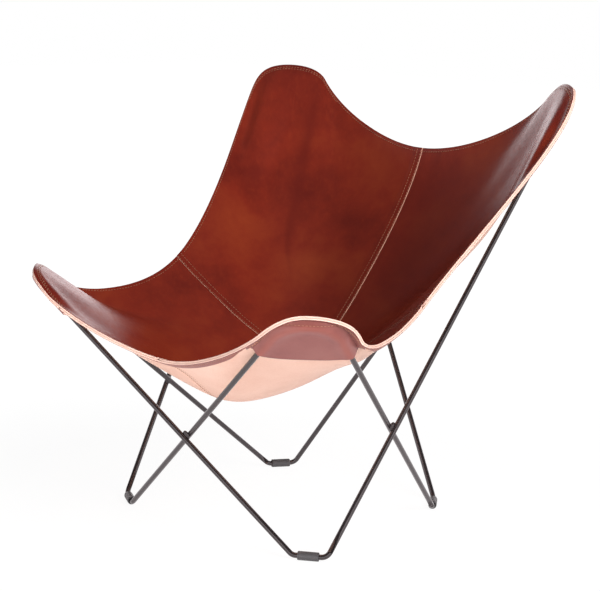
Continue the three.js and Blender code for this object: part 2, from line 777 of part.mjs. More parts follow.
function sling() {
  const group = new THREE.Group();
  const sides = { right: slingHalf(1), left: slingHalf(-1) };
  const borders = {};
  const limits = {};
  Object.entries(sides).forEach(([name, half]) => {
    const front = pocket(half, name, 'front');
    const back = pocket(half, name, 'back');
    group.add(...panels(half, name), front.mesh, back.mesh);
    borders[name] = stripRows(half);
    limits[name] = { front, back };
    group.add(strip(name, borders[name].slice(front.last, back.first + 1)));
  });
  const { left, right } = borders;
  const frontLeft = left.slice(1, limits.left.front.first + 1).reverse();
  group.add(strip('front', [...frontLeft, ...right.slice(0, limits.right.front.first + 1)]));
  const backLeft = left.slice(limits.left.back.last, -1).reverse();
  group.add(strip('back', [...right.slice(limits.right.back.last), ...backLeft]));
  return group;
}

function frame() {
  const group = new THREE.Group();
  [1, -1].forEach((side) => group.add(...loopRods(side), ...loopSleeves(side)));
  group.add(...welds());
  return group;
}

const chair = new THREE.Group();
chair.add(frame(), sling());
const box = new THREE.Box3().setFromObject(chair);
const middle = box.getCenter(new THREE.Vector3());
chair.position.set(-middle.x, -middle.y, -box.min.z);
const group = new THREE.Group();
group.add(chair);

export default group;
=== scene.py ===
# Leather sling chair on a frame of bent rod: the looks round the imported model.
# Shapes are worked out in millimetres, as in the part's source, and become metres in makeMesh.
import math

import bpy
import numpy as np
from mathutils import Matrix


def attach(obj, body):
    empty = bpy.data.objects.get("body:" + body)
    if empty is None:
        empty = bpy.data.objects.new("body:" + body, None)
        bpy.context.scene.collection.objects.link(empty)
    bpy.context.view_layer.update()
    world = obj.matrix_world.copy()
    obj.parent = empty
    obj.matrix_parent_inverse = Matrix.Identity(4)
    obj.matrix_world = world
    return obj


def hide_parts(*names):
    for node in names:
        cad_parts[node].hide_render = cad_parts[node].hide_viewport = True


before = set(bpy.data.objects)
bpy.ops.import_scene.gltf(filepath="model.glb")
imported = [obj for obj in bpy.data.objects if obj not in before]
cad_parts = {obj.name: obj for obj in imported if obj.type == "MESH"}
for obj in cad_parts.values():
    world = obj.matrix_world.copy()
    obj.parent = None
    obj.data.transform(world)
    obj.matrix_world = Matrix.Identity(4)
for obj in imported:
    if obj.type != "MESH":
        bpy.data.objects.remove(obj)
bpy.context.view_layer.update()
print("frame loaded")

millimetre = 0.001
chairShift = np.array([-0.2417, 1.1211, 0.0])  # the whole chair's place in the frame
tiny = 1e-9  # keeps a division from failing


# Plain vector sums, each over the last axis of an array.
def ease(t):  # 3t^2 - 2t^3 between 0 and 1
    t = np.clip(t, 0, 1)
    return t * t * (3 - 2 * t)


def unit(v):  # each vector over its own length
    return v / np.linalg.norm(v, axis=-1, keepdims=True)


def bell(d, width):  # 1 at the middle, falling off as a bell curve
    return np.exp(-((d / width) ** 2))


def mirrored(p):  # left for right
    return p * np.array([-1.0, 1.0, 1.0])


def vec(p):  # numbers as an array
    return np.array(p, float)


def circle(count):  # angles evenly spread over a whole turn
    return np.linspace(0, 2 * math.pi, count, endpoint=False)


# Distance of each point from the start of its line: the sum of the gaps before it.
def lengthAlong(lines, least=0.0):
    gaps = np.linalg.norm(np.diff(lines, axis=-2), axis=-1) + least
    return np.concatenate([np.zeros(gaps.shape[:-1] + (1,)), np.cumsum(gaps, -1)], -1)


def lineLengths(lines):  # the sum of each line's gaps
    return np.linalg.norm(np.diff(lines, axis=1), axis=2).sum(1)


# Cubic through four neighbours, read at fractional places along the second axis.
def smoothRead(values, at):
    last = values.shape[1] - 1
    i = np.clip(np.floor(at).astype(int), 0, last - 1)
    f = at - i
    f = f.reshape(f.shape + (1,) * (values.ndim - 2))

    def take(k):  # the neighbour k steps on, held at the ends
        index = np.clip(i + k, 0, last)
        index = index.reshape(index.shape + (1,) * (values.ndim - 2))
        return np.take_along_axis(values, index, 1)

    a, b, c, d = take(-1), take(0), take(1), take(2)
    return b + 0.5 * f * (c - a + f * (2 * a - 5 * b + 4 * c - d + f * (3 * (b - c) + d - a)))


# Places are x, y and z of the right-hand side, and the left ones are their mirror images.
rods = {
    "radius": 5.5,
    "fit": 0.3,  # left between two rods
    "frontApex": (428.5, -457, 586),
    "backApex": (430.5, 454, 1020),
    "frontInnerFoot": (232, -257, 8.5),
    "frontOuterDepth": 221,
    "backOuterFoot": (232, 184, 8.5),
    "backInnerFoot": (197, 235, 8.5),
    "frontBend": 69,  # radius of the middle of the rod, as the next two
    "backBend": 56,
    "footBend": 18,
    "sides": 28,
    "legSteps": 24,
    "bendSteps": 40,
    "footSteps": 12,
    "endSteps": 5,
}
frontApex, backApex = vec(rods["frontApex"]), vec(rods["backApex"])
frontInnerFoot = vec(rods["frontInnerFoot"])
backOuterFoot, backInnerFoot = vec(rods["backOuterFoot"]), vec(rods["backInnerFoot"])
rodSpacing = 2 * rods["radius"] + rods["fit"]


# Half the shift in depth that lets a leg pass its mirror image: spacing / 2 over the leg's lean.
def halfCrossing(apex, foot):
    leg = foot - mirrored(apex)
    return rodSpacing / 2 * math.hypot(leg[1], leg[2]) / abs(leg[2])


loopSlide = max(halfCrossing(frontApex, frontInnerFoot), halfCrossing(backApex, backInnerFoot))


# Where the back corner's leg meets the floor when it just clears the other loop's leg.
def frontOuterFoot(side):
    top = backApex + vec((0, -side * loopSlide, 0))
    other = frontApex + vec((0, side * loopSlide, 0))
    otherWay = unit(frontApex - backOuterFoot)
    gap = top - other
    square = gap - otherWay * (gap @ otherWay)
    near = rodSpacing / np.linalg.norm(square)
    normal = unit(square) * near + np.cross(unit(square), otherWay) * math.sqrt(1 - near**2)
    dy, dz = -rods["frontOuterDepth"] - backApex[1], sleeves["drop"] - backApex[2]
    reach = top[0] - (dy * normal[1] + dz * normal[2]) / normal[0]
    return vec((reach, -rods["frontOuterDepth"], sleeves["drop"]))


# The corners of one loop, which runs from the front of one side to the back of the other. The
# other loop is its mirror image but for the outer front foot, and the two are slid apart in depth.
def loopCorners(side):
    def place(p):  # on its side, and slid
        return p * vec((side, 1, 1)) + vec((0, -side * loopSlide, 0))

    return {
        "frontApex": place(mirrored(frontApex)),
        "backApex": place(backApex),
        "frontInner": place(frontInnerFoot),
        "frontOuter": place(frontOuterFoot(side)),
        "backOuter": place(mirrored(backOuterFoot)),
        "backInner": place(mirrored(backInnerFoot)),
    }


# Puts points, faces and materials in a new mesh object, with a value for each point by name.
def makeMesh(name, points, faces, materials, faceMaterial=None, attributes=None, smooth=True):
    mesh = bpy.data.meshes.new(name)
    points = (np.asarray(points).reshape(-1, 3) + chairShift) * millimetre
    mesh.from_pydata(points.tolist(), [], [list(f) for f in faces])
    for material in materials:
        mesh.materials.append(material)
    if faceMaterial is not None:
        mesh.polygons.foreach_set("material_index", np.asarray(faceMaterial, np.int32))
    for key, values in (attributes or {}).items():
        attribute = mesh.attributes.new(key, "FLOAT", "POINT")
        attribute.data.foreach_set("value", np.asarray(values, np.float32).ravel())
    mesh.polygons.foreach_set("use_smooth", [smooth] * len(mesh.polygons))
    mesh.update()
    piece = bpy.data.objects.new(name, mesh)
    bpy.context.collection.objects.link(piece)
    return piece


# A piece rides on the chair's only body and may take the place of CAD nodes; its slot is not used.
def addPiece(piece, slot, *nodes):
    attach(piece, "root")
    if nodes:
        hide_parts(*nodes)
    return piece


# Numbers of a grid's quads, rows by columns, closed round either way if asked.
def gridFaces(rows, columns, closeRows=False, closeColumns=False, start=0):
    index = np.arange(rows * columns).reshape(rows, columns) + start
    if closeRows:
        index = np.vstack([index, index[:1]])
    if closeColumns:
        index = np.hstack([index, index[:, :1]])
    corners = [index[:-1, :-1], index[1:, :-1], index[1:, 1:], index[:-1, 1:]]
    return np.stack(corners, -1).reshape(-1, 4)


# A new material with its shader, and the object's own coordinates for its patterns.
def newMaterial(name):
    material = bpy.data.materials.new(name)
    material.use_nodes = True
    tree = material.node_tree
    place = addNode(tree, "ShaderNodeTexCoord").outputs["Object"]
    return material, tree, tree.nodes["Principled BSDF"], place


# Fills sockets: with a link where the value comes from a node, or else with the value itself.
def setInputs(tree, node, inputs):
    for key, value in inputs.items():
        if isinstance(value, bpy.types.NodeSocket):
            tree.links.new(value, node.inputs[key])
        else:
            node.inputs[key].default_value = value


# A new node with its settings and sockets. Each small function after it gives one output.
def addNode(tree, kind, inputs=None, **settings):
    node = tree.nodes.new(kind)
    for key, value in settings.items():
        setattr(node, key, value)
    setInputs(tree, node, inputs or {})
    return node


# Colours at places from 0 to 1, blended between them.
def addRamp(tree, factor, stops):
    ramp = addNode(tree, "ShaderNodeValToRGB", {"Fac": factor})
    elements = ramp.color_ramp.elements
    while len(elements) < len(stops):
        elements.new(0.5)
    for element, (place, colour) in zip(elements, stops):
        element.position = place
        element.color = (*colour, 1)
    return ramp.outputs["Color"]


# A value moved in proportion from one range to another, held at both ends.
def rangeOf(tree, value, low, high, fromLow=0.0, fromHigh=1.0):
    inputs = {"Value": value, "From Min": fromLow, "From Max": fromHigh, "To Min": low, "To Max": high}
    return addNode(tree, "ShaderNodeMapRange", inputs).outputs["Result"]


# The sum, the product or the greater of two values.
def mathOf(tree, operation, a, b):
    return addNode(tree, "ShaderNodeMath", {0: a, 1: b}, operation=operation).outputs[0]


# a times 1 - factor, plus b times the factor.
def blendColour(tree, factor, a, b):
    a, b = (c if isinstance(c, bpy.types.NodeSocket) else (*c, 1) for c in (a, b))
    inputs = {0: factor, 6: a, 7: b}  # sockets 6 and 7 are the node's two colours
    return addNode(tree, "ShaderNodeMix", inputs, data_type="RGBA").outputs[2]


# Cloudy noise round 0.5, with so many clouds to the metre.
def noiseOf(tree, place, scale, detail=4.0, roughness=0.55, distortion=0.0):
    inputs = {"Vector": place, "Scale": scale, "Detail": detail}
    inputs.update({"Roughness": roughness, "Distortion": distortion})
    return addNode(tree, "ShaderNodeTexNoise", inputs).outputs["Fac"]


# Coordinates scaled and turned, so that a pattern is drawn out one way.
def stretched(tree, place, scale, turn=(0, 0, 0)):
    inputs = {"Vector": place, "Scale": scale, "Rotation": turn}
    return addNode(tree, "ShaderNodeMapping", inputs).outputs["Vector"]


def heightOf(tree, place):  # its z
    return addNode(tree, "ShaderNodeSeparateXYZ", {"Vector": place}).outputs["Z"]


# Relief from a pattern: its distance is in metres, and it may lie over another relief.
def addBump(tree, height, distance, strength, under=None):
    inputs = {"Height": height, "Distance": distance, "Strength": strength}
    if under is not None:
        inputs["Normal"] = under
    return addNode(tree, "ShaderNodeBump", inputs).outputs["Normal"]


grain = {
    "deep": (0.145, 0.0125, 0.0075),
    "middle": (0.235, 0.0225, 0.010),
    "light": (0.33, 0.048, 0.015),
    # Painted: the redder tone of a pocket's ridge over the rod, where the flat pocket shows a lavender
    # reflection.
    "ridgeWithoutSheen": (0.29, 0.075, 0.055),
    # Pocket and strip tones are pinker than the grain side: partly the leather's own colour, partly a painted
    # lavender reflection of the bright floor.
    "pocketTonesWithPaintedReflection": ((0.125, 0.036, 0.031), (0.228, 0.074, 0.066), (0.29, 0.11, 0.095)),
    "stripTonesWithPaintedReflection": ((0.14, 0.035, 0.028), (0.25, 0.07, 0.056), (0.33, 0.11, 0.085)),
    "stops": (0.22, 0.5, 0.82),
    "belowTone": 0.03,
    "offset": (1.37, 0.83, 2.2),
    "clouds": 5.5,
    "blotches": 26.0,
    "blotchAmount": 0.15,
    "speckle": 420.0,
    "speckleAmount": 0.2,
    "drawnLines": 150.0,
    "drawnAmount": 0.25,
    "wearAndShadeAmount": 0.6,
    # Painted shade by height: the ramp is shifted lighter at the lower height and darker at the upper one, in
    # metres.
    "paintedHeightShade": (0.03, -0.05),
    "paintedShadeHeights": (0.35, 0.95),
    "roughness": (0.32, 0.44),
    "specular": 0.35,
    "pores": 900.0,
    "fibres": 260.0,
    "creases": 90.0,
    "waves": 9.0,
    "poreBump": (0.00005, 0.04),
    "fibreBump": (0.00015, 0.08),
    "creaseBump": (0.0004, 0.12),
    "waveBump": (0.003, 0.35),
}


# Waxed grain side: the sum of two noises and a painted shade by height, lighter low down and darker
# towards the top, chooses between three reds. Speckle, drawn lines, the worked places (wear, and dark bands
# on two back panels, the right one painted shade) and a pocket's ridge (a painted redder tone where the
# reflection is missing) are blended over it, and four bumps make its relief.
def grainMaterial(name, tone=0.0, deep=grain["deep"], middle=grain["middle"], light=grain["light"]):
    material, tree, shader, place = newMaterial(name)
    moved = {"Vector": place, "Location": grain["offset"]}
    hide = addNode(tree, "ShaderNodeMapping", moved).outputs["Vector"]
    clouds = noiseOf(tree, hide, grain["clouds"], detail=4.0, roughness=0.55, distortion=0.3)
    blotches = noiseOf(tree, hide, grain["blotches"], detail=5.0, roughness=0.6, distortion=0.2)
    blotches = rangeOf(tree, blotches, -grain["blotchAmount"], grain["blotchAmount"])
    paintedShadeRange = (tone + grain["paintedHeightShade"][0], tone + grain["paintedHeightShade"][1])
    paintedHeightShade = rangeOf(tree, heightOf(tree, place), *paintedShadeRange, *grain["paintedShadeHeights"])
    shade = mathOf(tree, "ADD", mathOf(tree, "ADD", clouds, blotches), paintedHeightShade)
    colour = addRamp(tree, shade, list(zip(grain["stops"], (deep, middle, light))))
    speckle = noiseOf(tree, place, grain["speckle"], detail=3.0, roughness=0.6)
    speckle = rangeOf(tree, speckle, 0.0, grain["speckleAmount"], fromLow=0.5, fromHigh=0.8)
    colour = blendColour(tree, speckle, colour, deep)
    along = stretched(tree, place, (1, 1, 0.16), turn=(0.5, 0.2, 0.6))
    drawn = noiseOf(tree, along, grain["drawnLines"], detail=4.0, roughness=0.6, distortion=0.4)
    lines = rangeOf(tree, drawn, 0.0, grain["drawnAmount"], fromLow=0.5, fromHigh=0.8)
    colour = blendColour(tree, lines, colour, light)
    # Worked places carry wear, and on the back right panel a band of painted shade. The ridge tone is painted
    # where a pocket's ridge lacks the reflection.
    for key, tint in (("worked", deep), ("ridgeWithoutSheen", grain["ridgeWithoutSheen"])):
        amount = addNode(tree, "ShaderNodeAttribute", attribute_name=key).outputs["Fac"]
        colour = blendColour(tree, rangeOf(tree, amount, 0.0, grain["wearAndShadeAmount"]), colour, tint)
    cells = {"Vector": place, "Scale": grain["pores"]}
    pores = addNode(tree, "ShaderNodeTexVoronoi", cells, feature="DISTANCE_TO_EDGE").outputs["Distance"]
    normal = addBump(tree, rangeOf(tree, pores, 0.0, 1.0, fromLow=0.0, fromHigh=0.25), *grain["poreBump"])
    across = stretched(tree, place, (1, 0.4, 1), turn=(0.4, 0.3, 0.9))
    fibres = noiseOf(tree, across, grain["fibres"], detail=2.0, roughness=0.5)
    normal = addBump(tree, fibres, *grain["fibreBump"], under=normal)
    creases = noiseOf(tree, place, grain["creases"], detail=2.0, roughness=0.5, distortion=0.2)
    normal = addBump(tree, creases, *grain["creaseBump"], under=normal)
    waves = noiseOf(tree, place, grain["waves"], detail=1.0, roughness=0.4)
    normal = addBump(tree, waves, *grain["waveBump"], under=normal)
    rough = rangeOf(tree, drawn, *grain["roughness"], fromLow=0.3, fromHigh=0.7)
    setInputs(tree, shader, {"Base Color": colour, "Roughness": rough, "Normal": normal})
    shader.inputs["Specular IOR Level"].default_value = grain["specular"]
    return material


flesh = {
    "ramp": [(0.3, (0.75, 0.45, 0.355)), (0.55, (0.80, 0.515, 0.415)), (0.75, (0.835, 0.56, 0.465))],
    "fibre": (0.62, 0.32, 0.2),
    "fibreAmount": 0.5,
    "clouds": 9.0,
    "fibres": 520.0,
    "roughness": 0.85,
    "sheen": 0.1,
    "sheenRoughness": 0.5,
    "fibreBump": (0.0003, 0.8),
    "cloudBump": (0.002, 0.4),
}


# Flesh side: pale, matt clouds of noise, with darker fibres drawn out one way.
def fleshMaterial(name):
    material, tree, shader, place = newMaterial(name)
    clouds = noiseOf(tree, place, flesh["clouds"], detail=5.0, roughness=0.6, distortion=0.4)
    along = stretched(tree, place, (1, 0.25, 1), turn=(0.3, 0.4, 0.8))
    fibres = noiseOf(tree, along, flesh["fibres"], detail=4.0, roughness=0.7, distortion=0.8)
    amount = rangeOf(tree, fibres, 0.0, flesh["fibreAmount"], fromLow=0.45, fromHigh=0.8)
    colour = blendColour(tree, amount, addRamp(tree, clouds, flesh["ramp"]), flesh["fibre"])
    normal = addBump(tree, fibres, *flesh["fibreBump"])
    normal = addBump(tree, clouds, *flesh["cloudBump"], under=normal)
    setInputs(tree, shader, {"Base Color": colour, "Roughness": flesh["roughness"], "Normal": normal})
    shader.inputs["Sheen Weight"].default_value = flesh["sheen"]
    shader.inputs["Sheen Roughness"].default_value = flesh["sheenRoughness"]
    return material


cutEdges = {
    "tones": ((0.88, 0.56, 0.46), (0.94, 0.65, 0.55)),
    "seamTones": ((0.74, 0.4, 0.29), (0.84, 0.48, 0.36)),
    "stops": (0.3, 0.7),
    "fibre": (0.7, 0.4, 0.27),
    "fibreAmount": 0.2,
    "fibres": 700.0,
    "clouds": 40.0,
    "roughness": 0.7,
    "bump": (0.00012, 0.35),
}


# Cut edge: noise between a darker and a paler peach, with fine fibres over it.
def cutEdgeMaterial(name, dark, pale):
    material, tree, shader, place = newMaterial(name)
    fibres = noiseOf(tree, place, cutEdges["fibres"], detail=4.0, roughness=0.7)
    clouds = noiseOf(tree, place, cutEdges["clouds"], detail=3.0, roughness=0.5)
    amount = rangeOf(tree, fibres, 0.0, cutEdges["fibreAmount"], fromLow=0.5, fromHigh=0.8)
    colour = addRamp(tree, clouds, list(zip(cutEdges["stops"], (dark, pale))))
    colour = blendColour(tree, amount, colour, cutEdges["fibre"])
    normal = addBump(tree, fibres, *cutEdges["bump"])
    setInputs(tree, shader, {"Base Color": colour, "Roughness": cutEdges["roughness"], "Normal": normal})
    return material


twine = {
    "ramp": [(0.35, (0.3, 0.12, 0.07)), (0.65, (0.55, 0.29, 0.18))],
    "twist": 1500.0,
    "roughness": 0.55,
    "bump": (0.0002, 0.6),
}


# Waxed thread: a very fine slanting noise between two browns.
def threadMaterial(name):
    material, tree, shader, place = newMaterial(name)
    slanting = stretched(tree, place, (1, 0.4, 1), turn=(0.6, 0, 0.8))
    twist = noiseOf(tree, slanting, twine["twist"], detail=2.0)
    colour = addRamp(tree, twist, twine["ramp"])
    normal = addBump(tree, twist, *twine["bump"])
    setInputs(tree, shader, {"Base Color": colour, "Roughness": twine["roughness"], "Normal": normal})
    return material


paint = {
    "ramp": [(0.3, (0.010, 0.0075, 0.0075)), (0.7, (0.019, 0.014, 0.0145))],
    "rubbed": (0.07, 0.062, 0.06),
    "rubbedAmount": 0.1,
    "clouds": 14.0,
    "rubs": 160.0,
    "peel": 240.0,
    "roughness": (0.2, 0.3),
    "weldRoughness": (0.3, 0.5),
    "bump": (0.00004, 0.12),
    "gloss": {
        "Specular Tint": (1.0, 0.93, 0.95, 1),
        "Specular IOR Level": 0.7,
        "Coat Weight": 0.35,
        "Coat Roughness": 0.1,
    },
}


# Black paint on steel: slight orange peel and small rubbed spots, both from noise.
def paintMaterial(name, roughness):
    material, tree, shader, place = newMaterial(name)
    clouds = noiseOf(tree, place, paint["clouds"], detail=5.0, roughness=0.6)
    rubs = noiseOf(tree, place, paint["rubs"], detail=3.0, roughness=0.6, distortion=0.2)
    amount = rangeOf(tree, rubs, 0.0, paint["rubbedAmount"], fromLow=0.7, fromHigh=0.85)
    colour = blendColour(tree, amount, addRamp(tree, clouds, paint["ramp"]), paint["rubbed"])
    rough = rangeOf(tree, clouds, *roughness, fromLow=0.3, fromHigh=0.7)
    peel = noiseOf(tree, place, paint["peel"], detail=1.0, roughness=0.5)
    normal = addBump(tree, peel, *paint["bump"])
    setInputs(tree, shader, {"Base Color": colour, "Roughness": rough, "Normal": normal, **paint["gloss"]})
    return material


moulding = {
    "plain": (0.065, 0.062, 0.065),
    "scuffed": (0.18, 0.175, 0.17),
    "scuffAmount": 0.9,
    "scuffHeight": 0.006,
    "scuffs": 260.0,
    "texture": 1400.0,
    "roughness": 0.55,
    "bump": (0.00008, 0.5),
}


# Sleeve: matt dark grey moulding with a fine texture, scuffed by noise that fades off the floor.
def sleeveMaterial(name):
    material, tree, shader, place = newMaterial(name)
    scuffs = noiseOf(tree, stretched(tree, place, (1, 1, 4)), moulding["scuffs"], detail=5.0, roughness=0.7)
    scuffs = rangeOf(tree, scuffs, 0.0, moulding["scuffAmount"], fromLow=0.4, fromHigh=0.7)
    low = rangeOf(tree, heightOf(tree, place), 1.0, 0.0, 0.0, moulding["scuffHeight"])
    colour = blendColour(tree, mathOf(tree, "MULTIPLY", low, scuffs), moulding["plain"], moulding["scuffed"])
    texture = noiseOf(tree, place, moulding["texture"], detail=2.0, roughness=0.5)
    normal = addBump(tree, texture, *moulding["bump"])
    setInputs(tree, shader, {"Base Color": colour, "Roughness": moulding["roughness"], "Normal": normal})
    return material


grainSide = grainMaterial("grain_leather")
fleshSide = fleshMaterial("flesh_leather")
cutEdge = cutEdgeMaterial("cut_edge_leather", *cutEdges["tones"])
seamEdge = cutEdgeMaterial("seam_edge_leather", *cutEdges["seamTones"])
# Pockets and strips: the same grain leather, with part of its reflection painted into pinker tones.
pocketGrainWithPaintedReflection = grainMaterial("pocket_leather_with_painted_reflection", grain["belowTone"], *grain["pocketTonesWithPaintedReflection"])
stripGrainWithPaintedReflection = grainMaterial("strip_leather_with_painted_reflection", grain["belowTone"], *grain["stripTonesWithPaintedReflection"])
threadFinish = threadMaterial("waxed_thread")
blackPaint = paintMaterial("black_paint", paint["roughness"])
weldPaint = paintMaterial("black_paint_on_weld", paint["weldRoughness"])
sleeveFinish = sleeveMaterial("sleeve_moulding")
print("materials made")


# Points and tangents of a path: straight runs, with an arc of the given radius at each corner.
def bentPath(corners, radii, steps):
    corners = np.array(corners)
    points, ways = [], []
    previous = corners[0]
    for i, (radius, count) in enumerate(zip(radii, steps)):
        corner = corners[i + 1]
        back, ahead = unit(corners[i] - corner), unit(corners[i + 2] - corner)
        half = math.acos(np.clip(back @ ahead, -1, 1)) / 2
        inward, way = unit(back + ahead), unit(ahead - back)
        centre = corner + inward * radius / math.sin(half)
        turn = ((math.pi / 2 - half) * np.linspace(-1, 1, count + 1))[:, None]
        arc = centre - inward * np.cos(turn) * radius + way * np.sin(turn) * radius
        share = np.linspace(0, 1, rods["legSteps"], endpoint=False)[:, None]
        points += [previous + (arc[0] - previous) * share, arc]
        leg = np.repeat(unit(corner - corners[i])[None], len(share), 0)
        ways += [leg, inward * np.sin(turn) + way * np.cos(turn)]
        previous = arc[-1]
    share = np.linspace(0, 1, rods["endSteps"] + 1)[1:, None]
    points.append(previous + (corners[-1] - previous) * share)
    ways.append(np.repeat(unit(corners[-1] - corners[-2])[None], len(share), 0))
    return np.vstack(points), np.vstack(ways)


# A round bar: circle of the radius in the plane square to the path, capped at both ends.
def tubeMesh(points, ways, radius, sides, flatWay):
    side = unit(np.cross(ways, flatWay))
    up = np.cross(side, ways)
    turn = circle(sides)[None, :, None]
    rings = points[:, None] + radius * (np.cos(turn) * side[:, None] + np.sin(turn) * up[:, None])
    count = len(points)
    faces = gridFaces(count, sides, closeColumns=True)[:, ::-1].tolist()
    faces += [list(range(sides)), list(range(count * sides - 1, (count - 1) * sides - 1, -1))]
    return rings.reshape(-1, 3), faces


# Halfway between the ends of a foot's two bends, each radius / tan(half its corner) from the corner.
def footMiddle(inner, innerApex, outer, outerApex):
    def bendStart(point, other, apex):  # on the line to the foot's other corner
        a, b = unit(other - point), unit(apex - point)
        half = math.acos(a @ b) / 2
        return point + a * rods["footBend"] / math.tan(half)

    return (bendStart(inner, outer, innerApex) + bendStart(outer, inner, outerApex)) / 2


# Faces turned outwards: the triple products of their corners add up to a positive volume.
def outward(points, faces):
    points = np.asarray(points).reshape(-1, 3)
    quads = np.array([list(f) if len(f) == 4 else list(f[:3]) + [f[2]] for f in faces])
    a, b, c, d = (points[quads[:, k]] - points.mean(0) for k in range(4))
    volume = (a * np.cross(b, c)).sum() + (a * np.cross(c, d)).sum()
    return faces if volume > 0 else [list(f)[::-1] for f in faces]


# One length of rod from the middle of a foot, up round a top corner and down to another foot.
def makeRod(name, startMiddle, startCorner, apex, endCorner, endMiddle, topBend):
    start = startMiddle + unit(startCorner - startMiddle) * rods["fit"] / 2
    end = endMiddle + unit(endCorner - endMiddle) * rods["fit"] / 2
    path = bentPath(
        [start, startCorner, apex, endCorner, end],
        [rods["footBend"], topBend, rods["footBend"]],
        [rods["footSteps"], rods["bendSteps"], rods["footSteps"]],
    )
    flatWay = unit(np.cross(startCorner - apex, endCorner - apex))
    points, faces = tubeMesh(*path, rods["radius"], rods["sides"], flatWay)
    piece = makeMesh(name.replace("rod_", "painted_rod_"), points, outward(points, faces), [blackPaint])
    addPiece(piece, "rod", name)


sleeves = {
    "radius": 9,
    "drop": 8.5,  # from the rod's middle to the flat underside
    "length": 42,
    "bore": 5.85,
    "sides": 48,
    "wallSteps": 40,
    "wallSquareness": 0.3,  # powers: round at 1, square near 0
    "endSquareness": 0.16,
}


# A tube whose wall's section is a rounded slot, with the underside of the outside flattened.
def makeSleeve(name, middle, way):
    v = circle(sleeves["wallSteps"])
    halfWall = (sleeves["radius"] - sleeves["bore"]) / 2
    halfLength = sleeves["length"] / 2
    cosV, sinV = np.cos(v), np.sin(v)
    radial = sleeves["bore"] + halfWall + halfWall * np.sign(cosV) * np.abs(cosV) ** sleeves["wallSquareness"]
    axial = halfLength * np.sign(sinV) * np.abs(sinV) ** sleeves["endSquareness"]
    turn = circle(sleeves["sides"])
    side, up = unit(np.cross(vec((0, 0, 1)), way)), vec((0, 0, 1))
    limit = sleeves["drop"] / np.maximum(-np.sin(turn), tiny)[:, None]
    reach = np.where(np.sin(turn)[:, None] < 0, np.minimum(radial, limit), radial)
    out = np.cos(turn)[:, None] * side + np.sin(turn)[:, None] * up
    points = middle + out[:, None] * reach[..., None] + way * axial[None, :, None]
    faces = outward(points, gridFaces(len(turn), len(v), True, True).tolist())
    piece = makeMesh(name.replace("sleeve_", "foot_sleeve_"), points, faces, [sleeveFinish])
    addPiece(piece, "sleeve", name)


welds = {
    "height": 11,
    "width": 8,
    "depth": 5,
    "rise": 4,
    "ripples": 9,
    "rippleDepth": 0.5,
    "sides": 36,
    "rows": 39,
}


# A bead: a flat ball drawn out along the crossing, with ripples across its length.
def makeWeld(name, legA, legB):
    (footA, apexA), (footB, apexB) = legA, legB
    wayA, wayB = unit(apexA - footA), unit(apexB - footB)
    gap, lean = footB - footA, wayA @ wayB
    pointA = footA + wayA * (gap @ wayA - lean * (gap @ wayB)) / (1 - lean * lean)
    pointB = footB + wayB * ((pointA - footB) @ wayB)
    up, through = unit(wayA + wayB), unit(pointB - pointA)
    across = np.cross(up, through)
    middle = (pointA + pointB) / 2 + up * welds["rise"]
    turn = circle(welds["sides"])[None, :]
    rise = np.linspace(-math.pi / 2, math.pi / 2, welds["rows"] + 2)[1:-1, None]
    wave = 0.5 + 0.5 * np.cos(rise * 2 * welds["ripples"] + np.cos(turn))
    ripple = 1 - welds["rippleDepth"] / welds["width"] * wave
    a = welds["width"] * np.cos(rise) * np.cos(turn) * ripple
    b = welds["depth"] * np.cos(rise) * np.sin(turn) * ripple
    c = welds["height"] * np.sin(rise) * np.ones_like(turn)
    points = middle + a[..., None] * across + b[..., None] * through + c[..., None] * up
    rows, columns = points.shape[:2]
    faces = gridFaces(rows, columns, closeColumns=True).tolist()
    faces += [list(range(columns))[::-1], list(range((rows - 1) * columns, rows * columns))]
    piece = makeMesh(name.replace("weld_", "bead_"), points, outward(points, faces), [weldPaint])
    addPiece(piece, "weld", name)


loops = {side: loopCorners(side) for side in (1, -1)}
for side, near, far in ((1, "left", "right"), (-1, "right", "left")):
    c = loops[side]
    frontMiddle = footMiddle(c["frontInner"], c["frontApex"], c["frontOuter"], c["backApex"])
    backMiddle = footMiddle(c["backInner"], c["backApex"], c["backOuter"], c["frontApex"])
    frontPath = (backMiddle, c["backOuter"], c["frontApex"], c["frontInner"], frontMiddle)
    backPath = (frontMiddle, c["frontOuter"], c["backApex"], c["backInner"], backMiddle)
    makeRod(f"rod_front_{near}", *frontPath, rods["frontBend"])
    makeRod(f"rod_back_{far}", *backPath, rods["backBend"])
    makeSleeve(f"sleeve_front_{far}", frontMiddle, unit(c["frontOuter"] - c["frontInner"]))
    makeSleeve(f"sleeve_back_{near}", backMiddle, unit(c["backOuter"] - c["backInner"]))
a, b = loops[1], loops[-1]
makeWeld("weld_front", (a["frontInner"], a["frontApex"]), (b["frontInner"], b["frontApex"]))
makeWeld("weld_back", (a["backInner"], a["backApex"]), (b["backInner"], b["backApex"]))
makeWeld("weld_right", (a["frontOuter"], a["backApex"]), (b["backOuter"], b["frontApex"]))
makeWeld("weld_left", (b["frontOuter"], b["backApex"]), (a["backOuter"], a["frontApex"]))
print("rods, sleeves and welds made")


# A top corner's own axes: down between its legs, across them and up from their plane.
def cornerFrame(apex, midLeg, sideLeg, bend):
    mid, side = unit(midLeg - apex), unit(sideLeg - apex)
    down, across = unit(mid + side), unit(side - mid)
    lift = np.cross(down, across)
    if lift[2] < 0:
        lift = -lift
    half = math.acos(mid @ side) / 2
    return {"apex": apex, "down": down, "across": across, "lift": lift, "bend": bend, "half": half}


# A point's shares along those axes, and the point that has given shares.
def inCorner(c, p):
    d = p - c["apex"]
    return d @ c["down"], d @ c["across"], d @ c["lift"]


